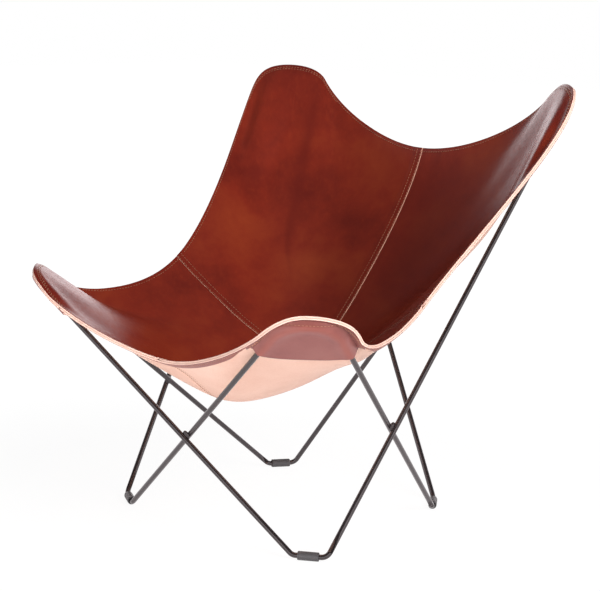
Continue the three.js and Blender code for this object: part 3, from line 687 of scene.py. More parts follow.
def fromCorner(c, along, across, lift):  # the apex plus each share of its axis
    axes = [(along, "down"), (across, "across"), (lift, "lift")]
    return c["apex"] + sum(np.asarray(v)[..., None] * c[key] for v, key in axes)


# Distance outside the rods' centre line in the corner's plane, negative inside.
def outsideRods(c, along, across):
    past = along - c["bend"] / math.sin(c["half"])
    wide = np.abs(across)
    down = past * math.cos(c["half"]) + wide * math.sin(c["half"])
    out = wide * math.cos(c["half"]) - past * math.sin(c["half"])
    return np.where(down < 0, np.hypot(past, wide), out) - c["bend"]


rim = {
    "frontMiddle": (0, -388, 378),
    "frontCorner": ((151, -85, -1), (107, -6, 9), (181, 105, 9)),  # down, across and above the corner
    "frontTurns": (32, 20),  # degrees, as are the other turns and the climb
    "frontSide": (380, -204, 445),
    "frontSideTurn": 17,
    "backSide": (347, -16, 500),
    "backSideTurn": -2,
    "backSideClimb": 36,
    "backCorner": ((200, 102, -1), (131, 13, 9), (166, -73, 9)),
    "backTurns": (17, 27),
    "backMiddle": (0, 413, 746),
    "handles": (  # shares of each chord, out of one knot and into the next
        (0.26, 0.26), (0.55, 0.32), (0.55, 0.39), (0.26, 0.26), (0.31, 0.39),
        (0.26, 0.26), (0.39, 0.55), (0.52, 0.26), (0.27, 0.34),
    ),
}
seat = {
    "centre": (0, 44.7, 311.5),
    "tilt": 0.563,
    "frontSlope": 21.2,  # degrees below level, and at the corners above the rods' plane
    "frontCornerSlope": 18,
    "sideSlope": 38.5,
    "backCornerSlope": 4.9,
    "backSlope": 74.65,
    "edgeEase": (0.437, 0.051, 0.09, 0.134, 0.21),  # front, front corner, side, back corner, back
    "seatEase": (0.737, 0.361, 0.25, 0.464, 0.25),
    "evenDegrees": 30,
    "evenStart": 0.05,
    "evenLeast": 0.0001,
    "slipReach": (200, 250),
    "stepsPerKnot": 44,
    "spokeSteps": 64,
    "fineSteps": 240,
}
leather = {
    "thickness": 4.0,
    "saddleLift": 11.1,  # least height of the grain side above the rods' middle
    "saddleFlat": 2,
    "saddleReach": 30,
    "saddleReachInside": 85,
    "saddleSoftness": 7,
    "saddleDepth": 40,
    "saddleDepthFade": 20,
    "edgeRound": 0.7,
    "edgeRoundWidth": 1.4,
    "innerEdgeWidth": 2.2,
    "border": (
        0, 0.5, 1.0, 1.6, 2.6, 4, 5.6, 6.9, 7.6, 8.1, 8.5, 8.9, 9.4, 10.2, 11.4, 12.2, 12.7, 13, 13.3, 13.8,
        14.8, 16.5, 19, 22, 26, 30, 35,
    ),
    "sewnBorder": 16.5,
    "innerRows": 64,
    "innerPower": 0.94,
    "columnsPerKnot": 34,
    "stitchRow": 8.5,
    "pocketStitchRow": 13.0,
    "stitchDip": 0.45,
    "stitchDipWidth": 0.9,
    "hiddenShare": 0.5,  # of dips and rounding, on the face that is hardly seen
    "wallShares": (0.22, 0.5, 0.78),
    "wallShape": (0.75, 1.0, 0.75),
    "wallBulge": 0.3,
    "layerGap": 0.15,
    "centreGap": 0.05,
    "wearReach": 5,
    "stitchWear": 0.7,
    "edgeWear": 0.5,
    "flatShare": 0.6,
}


# The edge's knots with the way in which it runs through each, and the way in which the leather
# leaves the edge at some of them, for the right half. A way is a sum of sines and cosines of angles.
def slingHalf(side):
    front = cornerFrame(frontApex, mirrored(frontInnerFoot), backOuterFoot, rods["frontBend"])
    back = cornerFrame(backApex, mirrored(backInnerFoot), frontOuterFoot(side), rods["backBend"])

    def turned(c, acrossSign, downSign, degrees):  # in the rods' plane, from down towards across
        a = math.radians(degrees)
        return c["across"] * acrossSign * math.sin(a) + c["down"] * downSign * math.cos(a)

    def sloped(c, degrees):  # down between the legs, and off their plane
        a = math.radians(degrees)
        return c["down"] * math.cos(a) + c["lift"] * math.sin(a)

    def falling(x, y, degrees):  # a level way, tipped down
        a = math.radians(degrees)
        return vec((x * math.cos(a), y * math.cos(a), -math.sin(a)))

    low, level, climb = (math.radians(rim[key]) for key in ("frontSideTurn", "backSideTurn", "backSideClimb"))
    rising = (math.sin(level) * math.cos(climb), math.cos(level) * math.cos(climb), math.sin(climb))
    frontKnots = [fromCorner(front, *place) for place in rim["frontCorner"]]
    backKnots = [fromCorner(back, *place) for place in rim["backCorner"]]
    knots = [
        (rim["frontMiddle"], (1, 0, 0)),
        (frontKnots[0], turned(front, 1, -1, rim["frontTurns"][0])),
        (frontKnots[1], front["across"]),
        (frontKnots[2], turned(front, 1, 1, rim["frontTurns"][1])),
        (rim["frontSide"], (-math.sin(low), math.cos(low), 0)),
        (rim["backSide"], rising),
        (backKnots[0], turned(back, -1, -1, rim["backTurns"][0])),
        (backKnots[1], -back["across"]),
        (backKnots[2], turned(back, -1, 1, rim["backTurns"][1])),
        (rim["backMiddle"], (-1, 0, 0)),
    ]
    stations = [  # the knot, the way there, and which of the seat's five eases holds
        (0, falling(0, 1, seat["frontSlope"]), 0),
        (1, sloped(front, seat["frontCornerSlope"]), 1),
        (3, sloped(front, seat["frontCornerSlope"]), 1),
        (5, falling(-1, 0, seat["sideSlope"]), 2),
        (6, sloped(back, seat["backCornerSlope"]), 3),
        (8, sloped(back, seat["backCornerSlope"]), 3),
        (9, falling(0, -1, seat["backSlope"]), 4),
    ]
    return {"front": front, "back": back, "knots": knots, "stations": stations}


def bezier(a, b, c, d, t):  # a cubic's four points, each times its share at t
    return (1 - t) ** 3 * a + 3 * (1 - t) ** 2 * t * b + 3 * (1 - t) * t * t * c + t**3 * d


# The edge at t: one cubic between each two knots, handles a share of the chord.
def edgeCurve(half, t):
    points = np.array([k[0] for k in half["knots"]], float)
    ways = np.array([k[1] for k in half["knots"]], float)
    handles = np.array(rim["handles"])
    i = np.minimum(t.astype(int), len(points) - 2)
    chord = np.linalg.norm(points[i + 1] - points[i], axis=1)[:, None]
    out = points[i] + ways[i] * chord * handles[i, :1]
    into = points[i + 1] - ways[i + 1] * chord * handles[i, 1:]
    return bezier(points[i], out, into, points[i + 1], (t - i)[:, None])


# Cubics from the edge to the seat centre, each read at even steps of its length.
def seatSpokes(half, t):
    knots = np.array([s[0] for s in half["stations"]], float)
    ways = np.array([s[1] for s in half["stations"]])
    order = np.array([s[2] for s in half["stations"]])
    i = np.clip(np.searchsorted(knots, t, side="right") - 1, 0, len(knots) - 2)
    share = ease((t - knots[i]) / (knots[i + 1] - knots[i]))[:, None]
    way = unit(ways[i] * (1 - share) + ways[i + 1] * share)

    def blended(shares):  # each spoke's own share, eased between stations
        values = np.array(shares)[order][:, None]
        return values[i] * (1 - share) + values[i + 1] * share

    edge, centre = edgeCurve(half, t), vec(seat["centre"])
    length = np.linalg.norm(edge - centre, axis=1)[:, None]
    level = unit((edge - centre) * vec((1, 1, 0)))
    level[:, 2] = level[:, 1] * seat["tilt"]
    level = unit(level)
    outer = edge + way * length * blended(seat["edgeEase"])
    inner = centre + level * length * blended(seat["seatEase"])
    u = np.linspace(0, 1, seat["fineSteps"] + 1)[None, :, None]
    fine = bezier(edge[:, None], outer[:, None], inner[:, None], centre[None, None], u)
    return evenly(fine, np.linspace(0, 1, seat["spokeSteps"] + 1)[None], True)


# Reads each line at distances along it, or at shares of its whole length.
def evenly(lines, distance, shares=False):
    length = lengthAlong(lines)
    if shares:
        distance = distance * length[:, -1:]
    at = np.empty(distance.shape)
    index = np.arange(lines.shape[1])
    for k in range(len(lines)):
        at[k] = np.interp(distance[k], length[k], index)
    return smoothRead(lines, at)


# Evens the spokes out round the centre: a bell-weighted mean, wider towards the centre.
def evenedSpokes(half, t):
    spokes = seatSpokes(half, t)
    edge = spokes[:, 0] - vec(seat["centre"])
    turn = np.arctan2(edge[:, 0], -edge[:, 1])
    everyTurn = np.concatenate([-turn[1:][::-1], turn, 2 * math.pi - turn[:-1][::-1]])
    everySpoke = np.concatenate([mirrored(spokes[1:][::-1]), spokes, mirrored(spokes[:-1][::-1])])
    spacing = np.gradient(everyTurn)
    share = np.linspace(0, 1, seat["spokeSteps"] + 1)
    amount = ease((share - seat["evenStart"]) / (1 - seat["evenStart"]))
    result = spokes.copy()
    for k in np.nonzero(amount > seat["evenLeast"])[0]:
        spread = math.radians(seat["evenDegrees"]) * amount[k]
        weight = bell(turn[:, None] - everyTurn[None], spread * math.sqrt(2)) * spacing
        weight /= weight.sum(1, keepdims=True)
        result[:, k] = weight @ everySpoke[:, k]
    return result


# Lifts the leather where it rides over a rod, so that the rod and the pocket stay clear: a weight
# that falls off from the rod, times a soft maximum of 0 and the height still missing.
def liftOverRods(half, p):
    for key in ("front", "back"):
        c = half[key]
        along, across, lift = inCorner(c, p)
        out = outsideRods(c, along, across)
        reach = np.where(out > 0, leather["saddleReach"], leather["saddleReachInside"])
        weight = ease((reach - np.abs(out)) / (reach - leather["saddleFlat"]))
        weight = weight * ease((lift + leather["saddleDepth"]) / leather["saddleDepthFade"])
        short = leather["saddleLift"] - lift
        soft = leather["saddleSoftness"]
        p = p + (weight * (short + np.sqrt(short**2 + soft**2)) / 2)[..., None] * c["lift"]
    return p


# Puts the symmetric half on its side and slides it with the loop that carries each corner.
def slipped(side, p):
    wide, deep = seat["slipReach"]
    amount = ease(np.abs(p[..., 0]) / wide) * ease(np.abs(p[..., 1]) / deep)
    shift = side * np.sign(p[..., 1]) * loopSlide * amount
    return np.stack([side * p[..., 0], p[..., 1] - shift, p[..., 2]], -1)


borderRows = np.array(leather["border"], float)
knotCount = 9  # steps between knots in half the edge
halfT = np.linspace(0, knotCount, knotCount * seat["stepsPerKnot"] + 1)
halves = {side: slingHalf(side) for side in (1, -1)}
spokesOf = {side: evenedSpokes(halves[side], halfT) for side in (1, -1)}
for k in (0, -1):  # the two halves meet in the middle plane
    both = (spokesOf[1][k] + spokesOf[-1][k]) / 2 * vec((0, 1, 1))
    spokesOf[1][k] = both
    spokesOf[-1][k] = both


# Rows of the whole sling, from the edge to the centre, round from the front middle over the
# right side, the back and the left side. Row r keeps its distance from the edge.
def slingRows():
    parts, depths = [], []
    for side in (1, -1):
        length = lineLengths(spokesOf[side])
        share = np.linspace(0, 1, leather["innerRows"] + 1)[1:] ** leather["innerPower"]
        depth = borderRows[-1] + (length[:, None] - borderRows[-1]) * share
        depth = np.concatenate([np.repeat(borderRows[None], len(length), 0), depth], 1)
        grid = slipped(side, liftOverRods(halves[side], evenly(spokesOf[side], depth)))
        grid, depth = (grid, depth) if side > 0 else (grid[::-1], depth[::-1])
        parts.append(grid if side > 0 else grid[1:-1])
        depths.append(depth if side > 0 else depth[1:-1])
    points = np.concatenate(parts).transpose(1, 0, 2)
    return points, np.concatenate(depths).T


rowPoints, rowDepth = slingRows()
ringCount = rowPoints.shape[1]
padding = seat["stepsPerKnot"]  # columns repeated beyond either end of the ring


def padded(values):  # the ring with columns of its other end at either end
    return np.concatenate([values[:, -padding:], values, values[:, : padding + 1]], 1)


# The cross product of the way round the ring and the way inwards, of length 1 and pointing up.
def surfaceNormals(rows):
    around = np.roll(rows, -1, 1) - np.roll(rows, 1, 1)
    inward = np.gradient(rows, axis=0)
    inward[-1] = inward[-2]
    around[-1] = around[-2]
    normal = unit(np.cross(around, inward))
    normal[-1] = unit(normal[-2].mean(0))
    return normal if normal[:, :, 2].mean() > 0 else -normal


rowNormals = surfaceNormals(rowPoints)
spokeIndex = {1: np.arange(len(halfT)), -1: -np.arange(len(halfT)) % ringCount}
spokeRows = {side: rowPoints[:, spokeIndex[side]].transpose(1, 0, 2) for side in (1, -1)}
spokeDepth = {side: rowDepth[:, spokeIndex[side]].T for side in (1, -1)}
# The pockets are worked out on the right half, so the left half's normals are mirrored.
spokeNormals = {
    side: rowNormals[:, spokeIndex[side]].transpose(1, 0, 2) * vec((side, 1, 1)) for side in (1, -1)
}
ringPoints, ringNormals = padded(rowPoints), padded(rowNormals)
ringDepth = padded(rowDepth)
print("sling surface worked out", rowPoints.shape)


laps = {
    "width": 16,
    "rise": 1.0,
    "riseFade": 9,
    "edgeRound": 0.35,
    "skive": 3.0,
    "skiveFade": 5,
    "hiddenTop": -0.9,
    "hiddenTopFade": 3.5,
    "hiddenSkive": 0.7,
    "hiddenSkiveFade": 12,
    "hiddenSkiveStart": 3,
    "stitchNear": 2.8,
    "stitchFar": 13,
    "groove": 8.4,
    "grooveDepth": 0.3,
    "grooveWidth": 2.2,
    "grooveWear": 0.35,
    "centreFade": 85,
    "centreLeast": 0.001,
    "offsets": (
        -16, -12, -8, -4, -1.5, -0.3, 0, 0.5, 1.1, 1.9, 2.8, 3.7, 5, 6.6, 8.4, 10.2, 11.8, 13, 14.2, 16, 18.5,
        22, 27, 33,
    ),
}
# The laps narrow towards the centre, by each row's distance from it.
radiusFromCentre = np.linalg.norm(rowPoints - vec(seat["centre"]), axis=2).min(1)
rowScale = np.clip(radiusFromCentre / laps["centreFade"], laps["centreLeast"], 1)


# Position along the ring of the places at given distances from a seam, row by row.
def ringPlaces(knot, distances):
    seam = knot * seat["stepsPerKnot"] + padding
    length = lengthAlong(ringPoints, tiny)
    length = length - length[:, seam : seam + 1]
    index = np.arange(length.shape[1])
    places = np.empty((len(length), len(distances)))
    for r in range(len(length) - 1):
        places[r] = np.interp(np.array(distances) * rowScale[r], length[r], index)
    places[-1] = places[-2]
    return places


# Distances from the seam of a panel's columns: the lower panel reaches under the upper one.
def lapOffsets(over):
    offsets = np.array(laps["offsets"], float)
    return offsets[offsets >= 0] if over else offsets[offsets != 0]


# Rounds an edge off: a square that falls from the amount at the edge to nothing at the width.
def rounding(d, amount, width):
    return amount * np.clip(1 - d / width, 0, 1) ** 2


# Heights of a panel's two faces beside a lapped seam, from the distance d to the seam's edge.
def lapHeights(d, over):
    thick, width = leather["thickness"], laps["width"]
    dips = laps["grooveDepth"] * bell(d - laps["groove"], laps["grooveWidth"])
    for row in (laps["stitchNear"], laps["stitchFar"]):
        dips = dips + leather["stitchDip"] * bell(d - row, leather["stitchDipWidth"])
    if over:
        raised = 1 - ease((d - width) / laps["riseFade"])
        top = laps["rise"] * raised - dips - rounding(d, laps["edgeRound"], leather["edgeRoundWidth"])
        return top, -thick + laps["skive"] * (1 - ease((d - width) / laps["skiveFade"]))
    top = laps["hiddenTop"] * (1 - ease(d / laps["hiddenTopFade"]))
    thinned = 1 - ease((d + width - laps["hiddenSkiveStart"]) / laps["hiddenSkiveFade"])
    roundOff = rounding(d + width, leather["edgeRound"], leather["edgeRoundWidth"])
    return top, -thick + laps["hiddenSkive"] * thinned + roundOff


# Dips and rounding along the free edge: two rows of stitches where a pocket hangs below.
def rimHeights(depth, inPocket):
    dip = bell(depth - leather["stitchRow"], leather["stitchDipWidth"])
    dip = dip + inPocket * bell(depth - leather["pocketStitchRow"], leather["stitchDipWidth"])
    return leather["stitchDip"] * dip, rounding(depth, leather["edgeRound"], leather["edgeRoundWidth"])


# A closed slab between two grids, with a rounded wall of three extra rings round its rim. Its
# materials are the upper side, the lower side, the cut edge and the cut corner of a seam.
def slabMesh(name, upper, lower, materials, slot, nodes, worked, ridgeWithoutSheen=None, paleColumns=()):
    rows, columns = upper.shape[:2]
    index = np.arange(rows * columns).reshape(rows, columns)
    top = gridFaces(rows, columns)
    bottom = gridFaces(rows, columns, start=rows * columns)[:, ::-1]
    outline = np.concatenate([index[0, :-1], index[:-1, -1], index[-1, :0:-1], index[:0:-1, 0]])
    inner = np.concatenate([index[1, :-1], index[:-1, -2], index[-2, :0:-1], index[:0:-1, 1]])
    up, low = upper.reshape(-1, 3), lower.reshape(-1, 3)
    out = unit(up[outline] - up[inner] + tiny)
    share, shape = (vec(leather[key])[:, None, None] for key in ("wallShares", "wallShape"))
    wall = up[outline] * (1 - share) + low[outline] * share + out * (leather["wallBulge"] * shape)
    start, count = 2 * rows * columns, len(outline)
    wallIndex = np.arange(len(share) * count).reshape(len(share), count) + start
    rings = np.vstack([outline, wallIndex, outline + rows * columns])
    rings = np.hstack([rings, rings[:, :1]])
    side = np.stack([rings[:-1, :-1], rings[:-1, 1:], rings[1:, 1:], rings[1:, :-1]], -1).reshape(-1, 4)
    points = np.vstack([up, low, wall.reshape(-1, 3)])
    faces = np.vstack([top, bottom, side])
    topKind, wallKind = np.zeros((rows - 1, columns - 1)), np.full((len(share) + 1, count), 2)
    for column in paleColumns:  # the cut corner of a seam shows pale from above
        wallStart = count - rows + 1 if column == 0 else columns - 1
        topKind[:, column] = wallKind[:, wallStart : wallStart + rows - 1] = 3
    kind = np.concatenate([topKind.ravel(), np.ones(len(bottom)), wallKind.ravel()])
    attributes = {"worked": worked}
    if ridgeWithoutSheen is not None:
        attributes["ridgeWithoutSheen"] = ridgeWithoutSheen
    none = np.zeros(wallIndex.size)
    attributes = {key: np.concatenate([v.ravel(), v.ravel(), none]) for key, v in attributes.items()}
    flipped = np.cross(up[index[1, 0]] - up[0], up[1] - up[0]) @ (up[0] - low[0]) < 0
    faces = faces[:, ::-1] if flipped else faces
    piece = makeMesh(name, points, faces.tolist(), materials, kind, attributes)
    return addPiece(piece, slot, *nodes)


# Area of a grid: half the length of the cross products at two corners of each cell.
def gridArea(grid):
    a, b = grid[1:, :-1] - grid[:-1, :-1], grid[:-1, 1:] - grid[:-1, :-1]
    c, d = grid[:-1, 1:] - grid[1:, 1:], grid[1:, :-1] - grid[1:, 1:]
    return (np.linalg.norm(np.cross(a, b), axis=2) + np.linalg.norm(np.cross(c, d), axis=2)).sum() / 2


# Prints a leather piece's two flat sides, in millimetres, and the area of its face.
def declareSheet(piece, width, length, face, *restsOn):
    area = gridArea(face)
    sizes = f"flat {width:.0f} by {length:.0f} mm, area {area / 1e6:.4f} square metres"
    print(piece.name, sizes)


# A panel's flat sides: its lines to the centre laid out as rays, each turned on from the last
# by their spacing over their radius, measured along and square to the middle ray.
def flatPanel(face):
    steps = np.linalg.norm(np.diff(face, axis=0), axis=2)
    ring = int(leather["flatShare"] * len(face))
    turn = lengthAlong(face[ring]) / steps[ring:].sum(0).mean()
    turn = turn - turn.mean()
    reach = steps.sum(0)
    across, along = reach * np.sin(turn), reach * np.cos(turn)
    return np.ptp(across), along.max() - min(along.min(), 0)


pockets = {
    "front": {"middle": 229, "side": 201, "halfWidth": 112, "start": 0.6, "end": 3.5},
    "back": {"middle": 262, "side": 222, "halfWidth": 116, "start": 5.6, "end": 8.4},
    "power": 3.5,
    "shortest": 7,
    "slope": 1.3,
    "room": 0.75,
    "wrapStart": 17,
    "wrapEnd": 3,
    "tuck": 2.6,
    "tuckReach": 13,
    "leave": 6.5,
    "leaveReach": 9,
    "ridgeToneReach": 6.5,
    "edgeWear": 0.4,
    "openWear": 0.3,
    "innerRows": 60,
    "softColumns": 9,
}


# Depth from the edge at which each spoke crosses the pocket's open edge, 0 where no pocket hangs.
# The open edge lies at the middle distance from the apex, less towards its ends, where a power of
# the width brings it to the side distance.
def pocketDepths(side, end):
    info, c = pockets[end], halves[side][end]
    fine = evenly(spokesOf[side], np.linspace(0, 1, seat["fineSteps"] + 1)[None], True)
    along, across, _ = inCorner(c, fine)
    wide = np.minimum(1, np.abs(across) / info["halfWidth"]) ** pockets["power"]
    short = info["middle"] + (info["side"] - info["middle"]) * wide - along
    first = (short < 0).argmax(1)
    before = np.maximum(first - 1, 0)
    line = np.arange(len(halfT))
    left, past = short[line, before], short[line, first]
    share = np.where(first > 0, (before + left / (left - past + tiny)) / seat["fineSteps"], 0)
    here = (halfT > info["start"]) & (halfT < info["end"])
    return np.where(here, share * lineLengths(fine), 0)


pocketDepth = {(side, end): pocketDepths(side, end) for side in (1, -1) for end in ("front", "back")}
pocketColumns = {}
for key, depth in pocketDepth.items():
    used = np.nonzero(depth >= pockets["shortest"])[0]
    pocketColumns[key] = (used[0], used[-1])
    print("pocket", key, halfT[used[0]].round(2), halfT[used[-1]].round(2), depth.max().round(1))


def halfIndex(side, column):  # the ring's column for a half's own column
    return column if side > 0 else ringCount - column


# Where pockets hang: a share from 0 to 1 for each column of the ring, with soft ends.
inPocketRing = np.zeros(ringCount)
for (side, end), (first, last) in pocketColumns.items():
    inPocketRing[halfIndex(side, np.arange(first, last + 1)) % ringCount] = 1
kernel = np.hanning(pockets["softColumns"])
soft = pockets["softColumns"] - 1
inPocketRing = np.concatenate([inPocketRing[-soft:], inPocketRing, inPocketRing[:soft]])
inPocketRing = np.convolve(inPocketRing, kernel / kernel.sum(), "same")[soft:-soft]

# Each panel's seams, as knots of the ring, and whether it lies over its neighbour at each.
panelPlan = {
    "panel_front_right": (0, 5, False, True),
    "panel_back_right": (5, 9, False, False),
    "panel_back_left": (9, 13, True, True),
    "panel_front_left": (13, 18, False, True),
}
# Soft dark bands down two panels, each along a line of rows and knots: on the back right, painted shade
# over the panel's darker side by the back seam; on the back left, a darker band. fadeIn and fadeOut
# are each a row and how many rows it takes.
darkBands = {
    "panel_back_left": {
        "rows": (28, 40, 50, 62), "knots": (10.41, 10.7, 10.91, 11.41), "width": 0.16, "amount": 0.95,
        "fadeIn": (22, 12), "fadeOut": (72, 18),
    },
    "panel_back_right": {
        "rows": (30, 39, 48), "knots": (8.84, 8.73, 8.64), "width": 0.35, "amount": 0.95,
        "fadeIn": (22, 12), "fadeOut": (72, 18),
    },
}


# How dark a band makes each place: a bell across its line, fading in and out along the rows.
def bandDarkness(darkBand, places):
    row = np.arange(len(places))[:, None]
    line = np.interp(row, darkBand["rows"], darkBand["knots"]) * seat["stepsPerKnot"] + padding
    (start, growth), (end, decline) = darkBand["fadeIn"], darkBand["fadeOut"]
    reach = ease((row - start) / growth) * ease((end - row) / decline)
    return darkBand["amount"] * reach * bell(places - line, darkBand["width"] * seat["stepsPerKnot"])


# One leather panel between two seams: columns at fixed distances beside each seam and evenly
# spread between, rows from the free edge to the centre, each face moved along the normal.
def makePanel(node, startKnot, endKnot, overStart, overEnd):
    startOffsets, endOffsets = lapOffsets(overStart), lapOffsets(overEnd)
    startPlaces = ringPlaces(startKnot, startOffsets)
    endPlaces = ringPlaces(endKnot, -endOffsets[::-1])
    share = np.linspace(0, 1, (endKnot - startKnot) * leather["columnsPerKnot"] + 1)[1:-1][None]
    first, last = startPlaces[:, -1:], endPlaces[:, :1]
    places = np.concatenate([startPlaces, first + (last - first) * share, endPlaces], 1)
    points, normals = smoothRead(ringPoints, places), unit(smoothRead(ringNormals, places))
    centre, up = ringPoints[-1, 0], ringNormals[-1, 0]
    points[-1], normals[-1] = centre, up
    depth = smoothRead(ringDepth[..., None], places)[..., 0]
    pocketHere = smoothRead(padded(inPocketRing[None])[..., None], places[:1])[..., 0]
    startDistance, endDistance = np.full((2, *places.shape), np.inf)
    startDistance[:, : len(startOffsets)] = startOffsets
    endDistance[:, -len(endOffsets) :] = endOffsets[::-1]
    thick, scale = leather["thickness"], rowScale[:, None]
    top, bottom = np.zeros(places.shape), np.full(places.shape, -thick)
    for distance, over in ((startDistance, overStart), (endDistance, overEnd)):
        near = np.isfinite(distance)
        lapTop, lapBottom = lapHeights(distance, over)
        top = np.where(near, lapTop * scale, top)
        bottom = np.where(near, -thick + (lapBottom + thick) * scale, bottom)
    dip, roundOff = rimHeights(depth, pocketHere)
    top, bottom = top - dip - roundOff, bottom + leather["hiddenShare"] * dip + roundOff
    upper, lower = points + normals * top[..., None], points + normals * bottom[..., None]
    upper[-1] = centre + unit(points[-2].mean(0) - centre) * leather["centreGap"]
    lower[-1] = upper[-1] - thick * up
    worked = leather["edgeWear"] * bell(depth, leather["wearReach"]) + leather["stitchWear"] * dip
    for distance in (startDistance, endDistance):
        worked = worked + laps["grooveWear"] * bell(distance - laps["groove"], leather["wearReach"]) * scale
    # The back right band is painted shade; it joins the worked places with the wear.
    if node in darkBands:
        worked = worked + bandDarkness(darkBands[node], places)
    name = node.replace("panel_", "leather_")
    pale = ([0] if overStart else []) + ([places.shape[1] - 2] if overEnd else [])
    finishes = [grainSide, fleshSide, cutEdge, seamEdge]
    piece = slabMesh(name, upper, lower, finishes, "sling", [node], np.clip(worked, 0, 1), paleColumns=pale)
    declareSheet(piece, *flatPanel(upper), upper, node.replace("panel_", "rod_"))


for node, plan in panelPlan.items():
    makePanel(node, *plan)
print("panels made")


# Depths of a sewn-on piece's rows: the sewn border, narrowed where the piece is, then even steps.
def sewnRows(border, borderDepth, depth, steps):
    share = np.linspace(0, 1, steps + 1)[1:]
    return np.concatenate([border, borderDepth + (depth - borderDepth) * share], 1)


# The pocket's face against the rods: along the sling's underside at the stitched border, then
# wrapped under the rods, and drawn up a little between them.
def pocketSurface(side, end):
    half, (first, last) = halves[side], pocketColumns[side, end]
    c = half[end]
    spokes = spokesOf[side][first : last + 1]
    length = lengthAlong(spokes[:, 0])
    fromEnd = np.minimum(length, length[-1] - length)
    most = pockets["shortest"] + pockets["slope"] * fromEnd
    depth = np.minimum(pocketDepth[side, end][first : last + 1], most)
    border = borderRows[borderRows <= leather["sewnBorder"]]
    narrowed = np.minimum(border[None], depth[:, None] * border / border[-1])
    rows = sewnRows(narrowed, border[-1], depth[:, None], pockets["innerRows"])
    base = liftOverRods(half, evenly(spokes, rows))
    columns = np.arange(first, last + 1)
    index = np.arange(spokeRows[side].shape[1])
    at = np.array([np.interp(row, spokeDepth[side][k], index) for row, k in zip(rows, columns)])
    normal = unit(smoothRead(spokeNormals[side][columns], at))
    beside = base - normal * (leather["thickness"] + leather["layerGap"])
    along, across, _ = inCorner(c, beside)
    out = outsideRods(c, along, across)
    wrap = rods["radius"] + pockets["room"]
    under = -wrap + pockets["tuck"] * (1 - bell(np.minimum(out, 0), pockets["tuckReach"]))
    beneath = fromCorner(c, along, across, under)
    amount = ease((pockets["wrapStart"] - out) / (pockets["wrapStart"] - pockets["wrapEnd"]))
    amount = amount * ease((rows - pockets["leave"]) / pockets["leaveReach"])
    face = beside + (beneath - beside) * amount[..., None]
    sides = np.ptp(face @ c["across"]), np.ptp(face @ c["down"])
    # The third value marks the ridge over the rod, which gets a painted redder tone without the reflection.
    return slipped(side, face), rows, bell(out, pockets["ridgeToneReach"]) * amount, sides


# A pocket: the face above, and the other a thickness below it, with stitch dips and round edges.
def makePocket(side, end):
    grid, rows, ridgeWithoutSheen, sides = pocketSurface(side, end)
    around, inward = np.gradient(grid, axis=0), np.gradient(grid, axis=1)
    normal = np.cross(around, inward)
    normal = normal if normal[..., 2].mean() > 0 else -normal
    normal = unit(normal / np.linalg.norm(normal, axis=2).mean() + vec((0, 0, 1e-6)))  # never of no length
    dip, roundOff = rimHeights(rows, 1)
    openEdge = rows[:, -1:] - rows
    roundOff = roundOff + rounding(openEdge, leather["edgeRound"], leather["innerEdgeWidth"])
    upper = grid - normal * (leather["hiddenShare"] * roundOff)[..., None]
    lower = grid - normal * (leather["thickness"] - dip - roundOff)[..., None]
    worked = pockets["edgeWear"] * bell(rows, leather["wearReach"]) + leather["stitchWear"] * dip
    worked = np.clip(worked + pockets["openWear"] * bell(openEdge, leather["wearReach"]), 0, 1)
    name = f"{end}_right" if side > 0 else f"{end}_left"
    finishes = [fleshSide, pocketGrainWithPaintedReflection, cutEdge]
    piece = slabMesh(f"pouch_{name}", upper, lower, finishes, "pocket", [f"pocket_{name}"], worked, ridgeWithoutSheen)
    declareSheet(piece, *sides, upper, f"rod_{name}")
    return lower, normal, rows


pocketFaces = {(side, end): makePocket(side, end) for side in (1, -1) for end in ("front", "back")}
print("pockets made")

strips = {
    "width": 25,
    "endWidth": 7,
    "taper": 65,
    "sewnShare": 0.66,
    "innerRows": 8,
    "upperGap": 0.15,
    "lowerGap": 0.1,
    "edgeWear": 0.4,
}


# A strip under the free edge between two pockets, parallel to the sling's underside and
# narrower towards the pockets.
def makeStrip(name, startColumn, endColumn, panels):
    columns = np.arange(startColumn, endColumn + 1) % ringCount
    border = borderRows[borderRows <= leather["sewnBorder"]]
    length = lengthAlong(rowPoints[0, columns])
    fromEnd = np.minimum(length, length[-1] - length)
    width = strips["endWidth"] + (strips["width"] - strips["endWidth"]) * ease(fromEnd / strips["taper"])
    last = np.minimum(border[-1], strips["sewnShare"] * width)[:, None]
    narrowed = np.minimum(border[None], last * border / border[-1])
    depth = sewnRows(narrowed, last, width[:, None], strips["innerRows"])
    at = np.interp(depth, borderRows, np.arange(len(borderRows)))
    near = slice(0, len(borderRows) + 2)
    grid = smoothRead(rowPoints[near, columns].transpose(1, 0, 2), at)
    normal = unit(smoothRead(rowNormals[near, columns].transpose(1, 0, 2), at))
    dip, roundOff = rimHeights(depth, 0)
    innerRound = rounding(depth[:, -1:] - depth, leather["edgeRound"], leather["innerEdgeWidth"])
    top = leather["thickness"] + strips["upperGap"] + leather["hiddenShare"] * (roundOff - dip)
    bottom = 2 * leather["thickness"] + strips["lowerGap"] - roundOff - innerRound - dip
    upper, lower = grid - normal * top[..., None], grid - normal * bottom[..., None]
    worked = strips["edgeWear"] * bell(depth, leather["wearReach"]) + leather["stitchWear"] * dip
    worked = np.clip(worked, 0, 1)
    finishes = [fleshSide, stripGrainWithPaintedReflection, cutEdge]
    piece = slabMesh(f"facing_{name}", upper, lower, finishes, "strip", [f"strip_{name}"], worked)
    declareSheet(piece, strips["width"], length[-1], upper, *panels)


